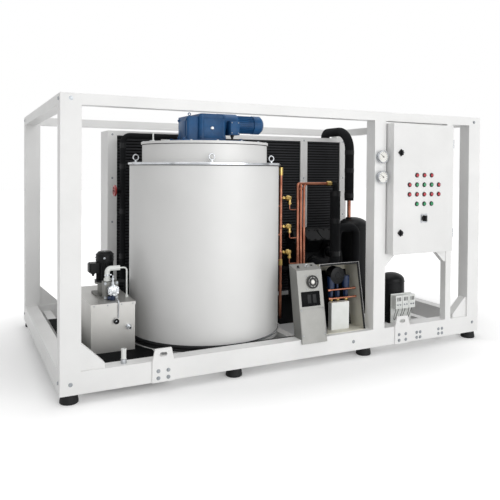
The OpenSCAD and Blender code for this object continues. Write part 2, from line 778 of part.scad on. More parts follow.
// Heavy insulated lines from the risers to the compressor
module suction_line() color("black") at_frame() {
    back_y = comp_y - comp_r - 20;
    pipe([[suction_x - 40, suction_y, riser_top], [suction_x, suction_y, riser_top],
        [suction_x, suction_y, suction_top]], 44, 24);
    pipe([[suction_x, suction_y, suction_top + 1], [suction_x, suction_y, comp_z],
        [suction_x, back_y, comp_z]], line_d, 100);
    x = suction_x + 145;
    y = back_y - 120;
    pipe([[x, back_y, comp_z + 80], [x, y, comp_z + 80], [x, y, comp_z + 300], [x + 190, y, comp_z + 300],
        [x + 190, y, floor_z]], line_d - 10, 60);
}

module discharge_line() color("black") at_frame() {
    x = rec_x - 50;
    y = cond_y + coil_t / 2;
    pipe([[x, rec_y, floor_z + rec_h + 148], [x, rec_y, discharge_z], [x, y - 70, discharge_z]], line_d, 170);
    pipe([[x, y - 70, discharge_z], [x, y, discharge_z], [x, y, cond_top]], line_d, 46);
}

// The drum's own insulated line, with the spindle of its shut-off valve
module drum_line() color("black") at_frame() {
    x = drum_line_x;
    y = drum_line_y;
    pipe([[comp_x, y, comp_z - 80], [x, y, comp_z - 80], [x, y, drum_line_z], [drum_x, y, drum_line_z],
        [drum_x, drum_y + 330, drum_line_z], [drum_x, drum_y + 330, collar_top]], drum_line_d, 56);
    translate([x - 46, y, wheel_z]) bar_x(46, 15);
    translate([x - 70, y, wheel_z]) bar_x(30, 6);
}

module valve_wheel() color("firebrick") at_frame()
    translate([drum_line_x - 68, drum_line_y, wheel_z]) rotate([0, 90, 0]) difference() {
        union() {
            ring(wheel_d / 2, wheel_d / 2 - 12, 14);
            cylinder(h = 18, r = 14);
            for (a = [0:120:240]) rotate(a) translate([0, -5, 2]) cube([wheel_d / 2 - 4, 10, 8]);
        }
        translate([0, 0, -1]) cylinder(h = 20, r = 6 + run);
    }

// Semi-hermetic compressor: motor barrel, heads, feet and the line flanges
module compressor() color("black") at_frame() translate([comp_x, comp_y, comp_z]) {
    bar_x(comp_l, comp_r);
    translate([comp_l - 40, 0, 0]) bar_x(40, comp_r + 14);
    for (s = [-1, 1]) rotate([s * 32, 0, 0]) for (x = [40, 190]) translate([x, -70, 60]) {
        cube([130, 140, 190]);
        translate([-6, -6, 190]) cube([142, 152, 26]);
    }
    for (x = [30, comp_l - 90]) translate([x, -120, floor_z - comp_z]) cube([60, 240, comp_z - floor_z - 90]);
    translate([suction_x - comp_x, -comp_r - 20, 0]) bar_y(60, 58);
    translate([suction_x - comp_x + 145, -comp_r - 20, 80]) bar_y(80, 50);
    translate([-16, -comp_r - 10, -40]) cube([30, 90, 150]);
}

// Domed vessel on z
module vessel(r, h) rotate_extrude() {
    square([r, h - 0.6 * r]);
    intersection() {
        square([r, h]);
        translate([0, h - 0.6 * r]) polygon([for (a = [0:5:90]) [r * cos(a), 0.6 * r * sin(a)], [0, 0]]);
    }
}

module pressure_vessels() color("black") at_frame() {
    translate([rec_x, rec_y, floor_z]) {
        vessel(rec_r, rec_h);
        translate([-50, 0, rec_h - 60]) cylinder(h = 60, r = 26);
    }
    translate([sep_x, sep_y, beam_h]) {
        translate([-sep_r, -100, 0]) cube([2 * sep_r, 200, plate_t]);
        vessel(sep_r, sep_h);
    }
}

// Two hoses that lie round the foot of the drum, one on the other
module front_hoses() color("black") at_frame() for (i = [0, 1]) {
    z = hose_z[i];
    left = drum_x - hose_orbit;
    front = drum_y - hose_orbit;
    rise = drum_y + hose_rise[i];
    top = lid_top + 60;
    translate([drum_x, drum_y, z]) rotate(180) rotate_extrude(angle = 90, $fn = 128)
        translate([hose_orbit, 0]) circle(d = hose_d);
    translate([drum_x, front, z]) bar_x(beam_x[3] - beam_w / 2 - drum_x, hose_d / 2);
    pipe([[left, drum_y, z], [left, rise, z], [left, rise, top], [left - 70, rise, top],
        [left - 70, rise, lid_top]], hose_d, 22);
}

// Outline in y and z of a box that leans back on a flat foot
function slanted(y, d, h, a) = [[y, 0], [y + d / cos(a), 0],
    [y + h * tan(a) + d * cos(a), h - d * sin(a)], [y + h * tan(a), h]];

// Controller box that hooks over the sill, with its dial and its window
module controller_box() color("silver") at_frame() translate([ctrl_x, 0, sill_h]) {
    top_y = ctrl_y + ctrl_h * tan(ctrl_lean);
    lip = [[-4, 0], [-4, -lip_h], [ctrl_y - lip_h * tan(ctrl_lean), -lip_h]];
    difference() {
        along_x(ctrl_w, [[ctrl_y + ctrl_d, 0], [top_y + ctrl_d, ctrl_h + ctrl_rise], [top_y, ctrl_h],
            lip[2], lip[1], lip[0]]);
        translate([0, ctrl_y, 0]) rotate([-ctrl_lean, 0, 0])
            translate([0.1 * ctrl_w, -1, 0.477 * ctrl_h]) cube([0.755 * ctrl_w, 5, 95]);
    }
    translate([0, ctrl_y, 0]) rotate([-ctrl_lean, 0, 0])
        translate([0.59 * ctrl_w, -9, 0.834 * ctrl_h]) bar_y(12, 42);
}

// Valve box, open at the front
module valve_box() color("white") at_frame() translate([vbox_x, 0, sill_h]) {
    a = vbox_lean;
    ahead = 40;
    difference() {
        along_x(vbox_w, slanted(vbox_y, vbox_d, vbox_h, a));
        translate([box_t, 0, box_t]) along_x(vbox_w - 2 * box_t, slanted(vbox_y + box_t * tan(a) - ahead,
            vbox_d - box_t + ahead * cos(a), vbox_h - box_t - box_t * cos(a) + ahead * sin(a) * cos(a), a));
    }
}

// Valves on their stems in the valve box, and the round drive above them
module valve_set() color("steelblue") at_frame() translate([vbox_x, vbox_y + 110, sill_h + box_t]) {
    for (x = [110, 164, 232]) translate([x, 0, 0]) {
        cylinder(h = 310, r = 9);
        translate([0, 0, 215]) cylinder(h = 40, r = 18, $fn = 6);
    }
    for (x = [110, 232]) translate([x, 0, 275]) cylinder(h = 80, r = 27);
    translate([150, -20, 362]) bar_y(60, 56);
}

// Three pressure switches on their plate, and the terminal box in the valve box
module pressure_switches() color("white") at_frame() {
    translate([sep_x - 95, stretcher_y[0] + 2, beam_h]) {
        cube([190, 6, 220]);
        for (i = [0:2]) translate([4 + i * 62, -50, 118]) cube([58, 50, 96]);
    }
    translate([vbox_x + 86, vbox_y + 60, sill_h + box_t]) cube([143, 40, 185]);
}

module pressure_gauges() color("whitesmoke") at_frame()
    for (z = gauge_z) translate([mid_x + mid_w / 2, -30, z]) {
        bar_y(30, gauge_r - 4);
        bar_y(10, gauge_r);
    }

// Cabinet with the lower knuckles and the pins of its hinges
module cabinet_body() color("white") at_frame() {
    edge = cab_x + cab_w;
    translate([cab_x, cab_front, cab_z]) difference() {
        cube([cab_w, cab_d, cab_h]);
        translate([cab_t, -1, cab_t]) cube([cab_w - 2 * cab_t, cab_d - cab_t + 1, cab_h - 2 * cab_t]);
    }
    for (z = hinge_z) {
        translate([hinge_x, hinge_y, z]) {
            cylinder(h = knuckle_h, r = hinge_r);
            cylinder(h = 2 * knuckle_h - 2, r = pin_r);
        }
        translate([edge, cab_front + 2, z]) cube([hinge_x - edge, 24, knuckle_h]);
        translate([hinge_x - 2.5, hinge_y, z]) cube([2.5, cab_front + 3 - hinge_y, knuckle_h]);
    }
}

// Folded door with holes for its lamps, buttons, latches and switch
module cabinet_door() color("white") at_frame() {
    edge = cab_x + cab_w;
    difference() {
        translate([cab_x, door_face, cab_z]) cube([cab_w, door_t, cab_h]);
        translate([cab_x + cab_t, door_face + cab_t, cab_z + cab_t])
            cube([cab_w - 2 * cab_t, door_t, cab_h - 2 * cab_t]);
        for (row = [0:3], k = lamp_rows[row]) at_lamp(row, k) translate([0, -1, 0])
            bar_y(cab_t + 2, stem_r + run);
        for (z = latch_z) translate([latch_x, door_face - 1, z]) bar_y(cab_t + 2, latch_r + run);
        translate([lamp_x, door_face - 1, switch_z]) bar_y(cab_t + 2, latch_r + run);
    }
    for (z = hinge_z) difference() {
        translate([0, 0, z + knuckle_h + clear]) {
            translate([hinge_x, hinge_y, 0]) cylinder(h = knuckle_h, r = hinge_r);
            translate([edge - 0.5, hinge_y - hinge_r, 0]) cube([hinge_x - edge + 0.5, 3, knuckle_h]);
        }
        translate([hinge_x, hinge_y, z]) cylinder(h = 3 * knuckle_h, r = pin_r + run);
    }
}

// Places a lamp or button by its row from the bottom and its column from the middle
module at_lamp(row, k) translate([lamp_x + k * lamp_pitch, door_face, lamp_z + row * lamp_pitch])
    children();

// Mounting plate with rows of contactors, on studs in the cabinet
module switchgear() color("gray") at_frame() {
    y = cab_front + cab_d - cab_t - 20;
    translate([cab_x + 50, y, cab_z + 60]) cube([cab_w - 100, 4, cab_h - 120]);
    for (x = [80, cab_w - 80], z = [90, cab_h - 90]) translate([cab_x + x, y + 4, cab_z + z]) bar_y(16, 8);
    for (row = [0:2], k = [0:3]) translate([cab_x + 80 + k * 100, y - 70 - clear, cab_z + 150 + row * 220])
        cube([80, 70, 110]);
}

module pilot_lamps() color("firebrick") at_frame() {
    for (row = [1:3], k = lamp_rows[row]) at_lamp(row, k) rotate([90, 0, 0]) rotate_extrude()
        polygon([[0, -door_t], [stem_r, -door_t], [stem_r, 0], [bezel_d / 2, 0], [bezel_d / 2, bezel_h - 2],
            [bezel_d / 2 - 2, bezel_h], [stem_r, bezel_h], [0.8 * stem_r, bezel_h + 4],
            [0.4 * stem_r, bezel_h + 6], [0, bezel_h + 6]]);
    for (k = lamp_rows[0]) at_lamp(0, k) rotate([90, 0, 0]) ring(bezel_d / 2, stem_r + run, bezel_h);
}

module start_button(k) color("seagreen") at_frame() at_lamp(0, k) rotate([90, 0, 0]) rotate_extrude()
    polygon([[0, -door_t], [stem_r, -door_t], [stem_r, bezel_h + button_travel - 1],
        [stem_r - 2, bezel_h + button_travel + 1], [0, bezel_h + button_travel + 1]]);
module start_button_1() start_button(-1);
module start_button_2() start_button(0);
module start_button_3() start_button(1);

module main_switch() color("black") at_frame() translate([lamp_x, door_face, switch_z]) rotate([90, 0, 0]) {
    translate([0, 0, -door_t]) cylinder(h = door_t + 1, r = latch_r);
    translate([0, 0, 0.3]) cylinder(h = 10, r = 20);
    translate([-6, -20, 9]) cube([12, 40, knob_h - 9]);
}

// Quarter-turn latch with its cam behind the door
module latch(z) color("black") at_frame() translate([latch_x, door_face, z]) rotate([90, 0, 0]) {
    translate([0, 0, -door_t]) cylinder(h = door_t + 1, r = latch_r);
    translate([0, 0, 0.3]) cylinder(h = 8, r = 24, $fn = 4);
    translate([-5, -16, 7]) cube([10, 32, knob_h - 12]);
    translate([-7, -7, -door_t]) cube([14, 46, 4]);
}
module latch_top() latch(latch_z[1]);
module latch_bottom() latch(latch_z[0]);

sills();
corner_posts();
top_rails();
mid_posts();
cross_beams();
floor_plates();
gussets();
lifting_lugs();
feet();
drum_base();
drum_jacket();
evaporator();
drum_top_ring();
drum_collar();
collar_lid();
lifting_eyes();
rotor_shaft();
blade_arms();
ice_blade();
spray_arms();
gearbox();
gear_motor();
water_tank();
tank_lid();
pump_lantern();
pump_motor();
water_pipe();
tank_fittings();
condenser_coil();
condenser_casing();
fan_plate();
fan_guards();
fan_rotor_1();
fan_rotor_2();
fan_rotor_3();
liquid_header();
branch_valves();
copper_risers();
suction_line();
discharge_line();
drum_line();
valve_wheel();
compressor();
pressure_vessels();
front_hoses();
controller_box();
valve_box();
valve_set();
pressure_switches();
pressure_gauges();
cabinet_body();
cabinet_door();
switchgear();
pilot_lamps();
start_button_1();
start_button_2();
start_button_3();
main_switch();
latch_top();
latch_bottom();
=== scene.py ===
"""Dresses the flake ice machine: finishes, fasteners, dials, lamps, fittings and the studio around it."""

import logging
import math
from dataclasses import dataclass
from enum import Enum
from typing import ClassVar, Sequence, Union

import bpy
from mathutils import Matrix, Vector


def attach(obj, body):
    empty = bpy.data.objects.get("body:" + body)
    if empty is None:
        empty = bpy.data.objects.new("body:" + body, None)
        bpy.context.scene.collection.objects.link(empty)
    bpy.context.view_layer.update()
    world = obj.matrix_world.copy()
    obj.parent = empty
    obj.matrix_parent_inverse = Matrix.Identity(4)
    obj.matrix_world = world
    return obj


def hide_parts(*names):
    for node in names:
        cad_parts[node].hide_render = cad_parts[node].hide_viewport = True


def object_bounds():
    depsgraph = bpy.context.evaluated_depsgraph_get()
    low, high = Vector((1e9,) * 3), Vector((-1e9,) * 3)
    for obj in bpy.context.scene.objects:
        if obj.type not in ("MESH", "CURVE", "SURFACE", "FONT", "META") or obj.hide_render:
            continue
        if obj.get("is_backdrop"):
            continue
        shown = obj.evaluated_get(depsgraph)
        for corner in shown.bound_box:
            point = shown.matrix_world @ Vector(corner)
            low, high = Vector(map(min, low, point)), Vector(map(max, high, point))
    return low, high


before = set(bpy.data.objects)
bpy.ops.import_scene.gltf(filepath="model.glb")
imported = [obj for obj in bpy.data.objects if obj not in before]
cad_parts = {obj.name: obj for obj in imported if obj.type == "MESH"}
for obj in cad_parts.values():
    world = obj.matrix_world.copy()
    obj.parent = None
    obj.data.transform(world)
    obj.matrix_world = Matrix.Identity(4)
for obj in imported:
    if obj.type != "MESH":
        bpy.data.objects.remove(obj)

CAD_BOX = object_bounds()
LOG = logging.getLogger("flake_ice_machine")
MM = 0.001
FRAME_CORNER = Vector((-1.515, -0.851, 0.050))
TURN = 2 * math.pi
# A wave texture of scale 1 runs through this many radians in a metre.
WAVE_RADIANS = 20.0
Pair = tuple[float, float]
Point = tuple[float, float, float]
Piece = bpy.types.Object
Tree = bpy.types.NodeTree
Socket = bpy.types.NodeSocket


def at(x: float, y: float, z: float) -> Vector:
    """Gives a place in metres from mm measured off the frame's front left corner, at the sill's underside.

    Args:
        x: distance from the left end.
        y: distance behind the front plane.
        z: height above the sill's underside.

    Returns:
        The place in the part's own frame.
    """
    return FRAME_CORNER + Vector((x, y, z)) * MM


def linear(colour: str) -> tuple[float, float, float, float]:
    """Turns an sRGB hex colour to linear light.

    Args:
        colour: six hex digits after a hash sign.

    Returns:
        Red, green, blue and alpha.
    """
    parts = [int(colour[i:i + 2], 16) / 255 for i in (1, 3, 5)]
    return (*(c / 12.92 if c <= 0.04045 else ((c + 0.055) / 1.055) ** 2.4 for c in parts), 1.0)


def add_node(tree: Tree, kind: str, sockets: dict[Union[str, int], object],
             **settings: object) -> bpy.types.Node:
    """Adds one shader node with its settings and links.

    Args:
        tree: the material's node tree.
        kind: the node's type, without the leading ShaderNode.
        sockets: a value or another node's output for each input that is set.
        **settings: the node's own options.

    Returns:
        The new node.
    """
    made = tree.nodes.new("ShaderNode" + kind)
    for name, value in settings.items():
        setattr(made, name, value)
    for name, value in sockets.items():
        if isinstance(value, Socket):
            tree.links.new(value, made.inputs[name])
        else:
            made.inputs[name].default_value = value
    return made


class Grain(Enum):
    """How the fine relief of a surface runs."""

    EVEN = (1.0, 1.0, 1.0)
    LEVEL = (0.03, 0.03, 1.0)
    UPRIGHT = (1.0, 1.0, 0.03)


@dataclass(frozen=True)
class Finish:
    """A surface: its material, its two nearest colours, and the relief its making left on it."""

    name: str
    colour: str
    tint: str
    rough: Pair
    grain_mm: float
    relief_mm: float
    patch_mm: float = 260.0
    metallic: float = 0.0
    grain: Grain = Grain.EVEN
    coat: float = 0.0
    specular: float = 0.5
    glow: float = 0.0
    CLOUD_SPAN: ClassVar[Pair] = (0.3, 0.7)
    HEIGHT_SPAN: ClassVar[Pair] = (0.25, 0.75)
    BUMP_STRENGTH: ClassVar[float] = 0.5

    def pattern(self, tree: Tree, place: Socket) -> Socket:
        """Gives the height of the relief.

        Args:
            tree: the material's node tree.
            place: the Object coordinates.

        Returns:
            A socket from 0 to 1.
        """
        run = add_node(tree, "Mapping", {"Vector": place, "Scale": self.grain.value})
        return add_node(tree, "TexNoise", {"Vector": run.outputs[0], "Scale": 1 / (self.grain_mm * MM),
                                           "Detail": 3.0, "Roughness": 0.55}).outputs["Fac"]

    def material(self) -> bpy.types.Material:
        """Builds the material once and hands out the same one after that.

        Returns:
            The material.
        """
        made = bpy.data.materials.get(self.name)
        if made:
            return made
        made = bpy.data.materials.new(self.name)
        made.use_nodes = True
        tree = made.node_tree
        shader = tree.nodes["Principled BSDF"]
        place = add_node(tree, "TexCoord", {}).outputs["Object"]
        height = self.pattern(tree, place)
        cloud = add_node(tree, "TexNoise", {"Vector": place, "Scale": 1 / (self.patch_mm * MM),
                                            "Detail": 4.0})
        low, high = self.CLOUD_SPAN
        blend = add_node(tree, "MapRange", {"Value": cloud.outputs["Fac"], "From Min": low, "From Max": high})
        colour = add_node(tree, "Mix", {0: blend.outputs[0], 6: linear(self.colour), 7: linear(self.tint)},
                          data_type="RGBA")
        low, high = self.HEIGHT_SPAN
        shine = add_node(tree, "MapRange", {"Value": height, "From Min": low, "From Max": high,
                                            "To Min": self.rough[0], "To Max": self.rough[1]})
        relief = add_node(tree, "Bump", {"Height": height, "Strength": self.BUMP_STRENGTH,
                                         "Distance": self.relief_mm * MM})
        tree.links.new(self.shade(tree, place, colour.outputs[2]), shader.inputs["Base Color"])
        tree.links.new(shine.outputs[0], shader.inputs["Roughness"])
        tree.links.new(relief.outputs[0], shader.inputs["Normal"])
        shader.inputs["Metallic"].default_value = self.metallic
        shader.inputs["Coat Weight"].default_value = self.coat
        if not self.metallic:
            shader.inputs["Specular IOR Level"].default_value = self.specular
        # The glow is painted light: the surface gives off a little light of its own colour.
        if self.glow:
            shader.inputs["Emission Color"].default_value = linear(self.colour)
            shader.inputs["Emission Strength"].default_value = self.glow
        return made

    def shade(self, tree: Tree, place: Socket, colour: Socket) -> Socket:
        """Gives the colour as it stands; finishes with a printed pattern draw it in here, and the coil draws
        its painted shade in the grooves here.
        """
        return colour


@dataclass(frozen=True)
class FinnedCoil(Finish):
    """Black coated fins packed on level tubes, seen as fine upright lines crossed by rows of painted shade in
    the gaps.
    """

    fin_mm: float = 9.0
    row_mm: float = 24.0
    first_row_mm: float = 174.85
    # Colour of the painted shade in the gaps between the rows.
    gap_shade_colour: str = "#040405"

    def pattern(self, tree: Tree, place: Socket) -> Socket:
        """Gives the height of the fins across the coil's face, as upright waves."""
        scale = TURN / (self.fin_mm * MM) / WAVE_RADIANS
        return add_node(tree, "TexWave", {"Vector": place, "Scale": scale, "Distortion": 0.4},
                        bands_direction="X").outputs["Fac"]

    def shade(self, tree: Tree, place: Socket, colour: Socket) -> Socket:
        """Paints shade into the level gaps between the rows, where the recesses fall dark.

        Args:
            tree: the material's node tree.
            place: the Object coordinates.
            colour: the colour of the fins.

        Returns:
            The colour with painted shade in the gaps.
        """
        phase = (math.pi - TURN * self.first_row_mm / self.row_mm) % TURN
        scale = TURN / (self.row_mm * MM) / WAVE_RADIANS
        rows = add_node(tree, "TexWave", {"Vector": place, "Scale": scale, "Phase Offset": phase},
                        bands_direction="Z")
        return add_node(tree, "Mix", {0: rows.outputs["Fac"], 6: colour, 7: linear(self.gap_shade_colour)},
                        data_type="RGBA").outputs[2]


# Steel, polyester powder coat, satin: a faint orange peel and clean soft sheen. The real peel is about 1 mm
# across and is drawn at 5 mm so that it shows.
POWDER_WHITE = Finish("powder_coated_steel_white", "#ebebea", "#e4e4e3", (0.34, 0.46), 5.0, 0.25)
# Steel plate, matt black paint: nearly no highlight, and broad patches where the film is thicker.
PAINT_BLACK_PLATE = Finish("painted_steel_plate_black", "#0a0b0c", "#111213", (0.62, 0.78), 8.0, 0.35,
                           specular=0.04)
# Moulded natural rubber: dull, slightly grey where it is handled.
RUBBER_MOULDED = Finish("moulded_rubber_black", "#0d0e0f", "#151618", (0.55, 0.75), 4.0, 0.3, specular=0.3)
# Stainless sheet, brushed level to a pale satin: long fine lines and a broad soft sheen, no mirror image.
# The real lines are 0.2 mm apart and are drawn at 2 mm.
STAINLESS_BRUSHED = Finish("brushed_stainless_sheet", "#dededd", "#d7d7d6", (0.44, 0.56), 2.0, 0.05, 420.0,
                           0.15, Grain.LEVEL)
# Stainless sheet with a dull mill finish, folded: greyer and flatter, with faint rolling lines drawn at 3 mm.
STAINLESS_MILL = Finish("mill_finish_stainless_sheet", "#bbbab7", "#b1b0ad", (0.36, 0.5), 3.0, 0.05, 200.0,
                        0.85, Grain.UPRIGHT)
# Stainless sheet, ground and then dulled: a darker grey, darker still as painted shade against the top light
# its leaning face reflects; short upright lines, drawn at 3 mm.
SHADED_DULL_STAINLESS = Finish("dull_stainless_sheet_with_painted_shade", "#8f8f8c", "#868683", (0.42, 0.55), 3.0, 0.05, 160.0,
                        0.9, Grain.UPRIGHT)
# Cast steel, bead blasted: mid grey with a dry, even sparkle.
STEEL_BLASTED = Finish("bead_blasted_cast_steel", "#7d7d7a", "#6c6c69", (0.5, 0.65), 2.5, 0.2, 60.0, 1.0)
# Cast iron housing, semi-gloss enamel: the sand-cast skin shows through the paint.
ENAMEL_BLUE = Finish("enamelled_cast_iron_blue", "#1d5688", "#164672", (0.3, 0.46), 3.5, 0.45, 90.0,
                     coat=0.05, specular=0.25)
# Brass valve bodies under dark blue lacquer: nearly black in the shade.
LACQUER_NAVY = Finish("lacquered_brass_navy", "#15294a", "#101f3a", (0.25, 0.4), 3.0, 0.2, 50.0,
                      specular=0.35)
# Cast and pressed steel, sprayed black: even, half gloss.
PAINT_BLACK = Finish("sprayed_steel_black", "#0b0c0d", "#131416", (0.3, 0.46), 3.0, 0.25, 120.0,
                     specular=0.16)
# ABS moulding, spark-eroded texture: matt with a fine even grain.
ABS_BLACK = Finish("moulded_abs_black", "#0e0f10", "#161718", (0.4, 0.56), 1.6, 0.12, 60.0, specular=0.35)
# PVC pipe, extruded: smooth, slightly creamy.
PVC_WHITE = Finish("extruded_pvc_white", "#e6e8e6", "#dbdeda", (0.28, 0.4), 6.0, 0.1, 80.0)
# Coil fins, dip-coated black: matt, nearly no highlight; the gaps between the rows get painted shade.
COIL_COATED = FinnedCoil("coated_coil_fins_black", "#3c3d40", "#303134", (0.55, 0.75), 6.0, 1.5, specular=0.2)
# Copper tube, drawn hard: bright, browner where it was handled and heated.
COPPER_DRAWN = Finish("drawn_copper_tube", "#b67d66", "#925b48", (0.24, 0.4), 3.0, 0.08, 70.0, 1.0)
# Brass, turned: yellow, fine turning marks.
BRASS_TURNED = Finish("turned_brass", "#d0b574", "#b99b5a", (0.22, 0.36), 2.0, 0.06, 40.0, 1.0)
# Closed-cell rubber foam, extruded skin: very dull, with a soft cell grain.
FOAM_CELLS = Finish("closed_cell_foam_black", "#131416", "#1a1b1d", (0.78, 0.92), 3.5, 0.7, 140.0,
                    specular=0.15)
# Cast hand wheel, red enamel: a clear red with a wet-looking edge.
ENAMEL_RED = Finish("enamelled_cast_iron_red", "#a81f1d", "#8d1918", (0.3, 0.45), 3.0, 0.3, 30.0, coat=0.2)
# Steel cabinet, fine-textured epoxy powder coat: a pale grey near white with a sandy grain, drawn at 3 mm.
POWDER_GREY = Finish("textured_powder_coat_pale_grey", "#e6e6e5", "#dfdfde", (0.44, 0.58), 3.0, 0.3, 300.0)
# Steel box, fine-textured powder coat: the same sandy grain in a warmer, creamier shade.
POWDER_CREAM = Finish("textured_powder_coat_cream", "#d8d5c8", "#cfccbe", (0.44, 0.58), 3.0, 0.3, 200.0)
# Polyamide mouldings of the switchgear: matt grey.
POLYAMIDE_GREY = Finish("moulded_polyamide_grey", "#6d7174", "#5f6366", (0.45, 0.6), 2.0, 0.12, 50.0)
# Gauge cases, rims and small fittings, polished stainless: bright, with small sharp highlights.
STEEL_POLISHED = Finish("polished_stainless", "#c4c7ca", "#b3b6ba", (0.14, 0.24), 3.0, 0.03, 50.0, 1.0)
# Polycarbonate lenses, injection moulded: clear colour with a hard small highlight, and a faint glow of their
# own colour that is painted light.
LENS_RED = Finish("moulded_polycarbonate_red", "#b5182a", "#971222", (0.1, 0.18), 4.0, 0.1, 20.0, coat=0.4,
                  glow=0.12)
LENS_GREEN = Finish("moulded_polycarbonate_green", "#1f8f58", "#177547", (0.1, 0.18), 4.0, 0.1, 20.0,
                    coat=0.4, glow=0.12)
# Bolts and washers, zinc plated: bright with grey bloom.
ZINC_PLATED = Finish("zinc_plated_steel", "#a9adb0", "#8b9094", (0.26, 0.44), 3.0, 0.1, 12.0, 1.0)
# Dial card, enamelled: clean white with a little gloss.
DIAL_WHITE = Finish("enamelled_dial_white", "#ecebe6", "#e4e3dd", (0.2, 0.3), 4.0, 0.05, 20.0, coat=0.5)
# Windows and dark slots, polished acrylic: deep black, with a reflection that is weak and slightly soft.
ACRYLIC_BLACK = Finish("polished_acrylic_black", "#08090a", "#0d0e10", (0.22, 0.34), 6.0, 0.02, 60.0,
                       specular=0.05)
# Sticky PVC tape and bands around the foam: black with half gloss.
TAPE_PVC = Finish("pvc_tape_black", "#101113", "#18191b", (0.4, 0.55), 5.0, 0.25, 40.0, specular=0.25)

NODE_FINISHES: dict[Finish, tuple[str, ...]] = {
    POWDER_WHITE: ("sills", "corner_posts", "top_rails", "mid_posts", "cross_beams", "gussets",
                   "lifting_lugs", "condenser_casing", "fan_plate"),
    PAINT_BLACK_PLATE: ("floor_plates",),
    RUBBER_MOULDED: ("feet", "front_hoses"),
    STAINLESS_BRUSHED: ("drum_base", "drum_jacket", "evaporator", "drum_top_ring", "drum_collar",
                        "collar_lid", "rotor_shaft", "blade_arms", "spray_arms"),
    STAINLESS_MILL: ("water_tank", "tank_lid"),
    SHADED_DULL_STAINLESS: ("controller_box",),
    STEEL_BLASTED: ("pump_lantern",),
    STEEL_POLISHED: ("tank_fittings", "lifting_eyes", "ice_blade", "pressure_gauges"),
    ENAMEL_BLUE: ("gearbox", "gear_motor"),
    LACQUER_NAVY: ("valve_set",),
    PAINT_BLACK: ("pump_motor", "fan_guards", "compressor", "pressure_vessels"),
    ABS_BLACK: ("fan_rotor_1", "fan_rotor_2", "fan_rotor_3", "main_switch", "latch_top", "latch_bottom"),
    PVC_WHITE: ("water_pipe", "pressure_switches"),
    COIL_COATED: ("condenser_coil",),
    COPPER_DRAWN: ("liquid_header", "copper_risers"),
    BRASS_TURNED: ("branch_valves",),
    FOAM_CELLS: ("suction_line", "discharge_line", "drum_line"),
    ENAMEL_RED: ("valve_wheel",),
    POWDER_GREY: ("cabinet_body", "cabinet_door"),
    POWDER_CREAM: ("valve_box",),
    POLYAMIDE_GREY: ("switchgear",),
    LENS_RED: ("pilot_lamps",),
    LENS_GREEN: ("start_button_1", "start_button_2", "start_button_3"),
}


def dress_nodes() -> None:
    """Gives every CAD node its finish."""
    for finish, nodes in NODE_FINISHES.items():
        for name in nodes:
            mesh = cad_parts[name].data
            mesh.materials.clear()
            mesh.materials.append(finish.material())
        LOG.info("%s on %s", finish.name, ", ".join(nodes))


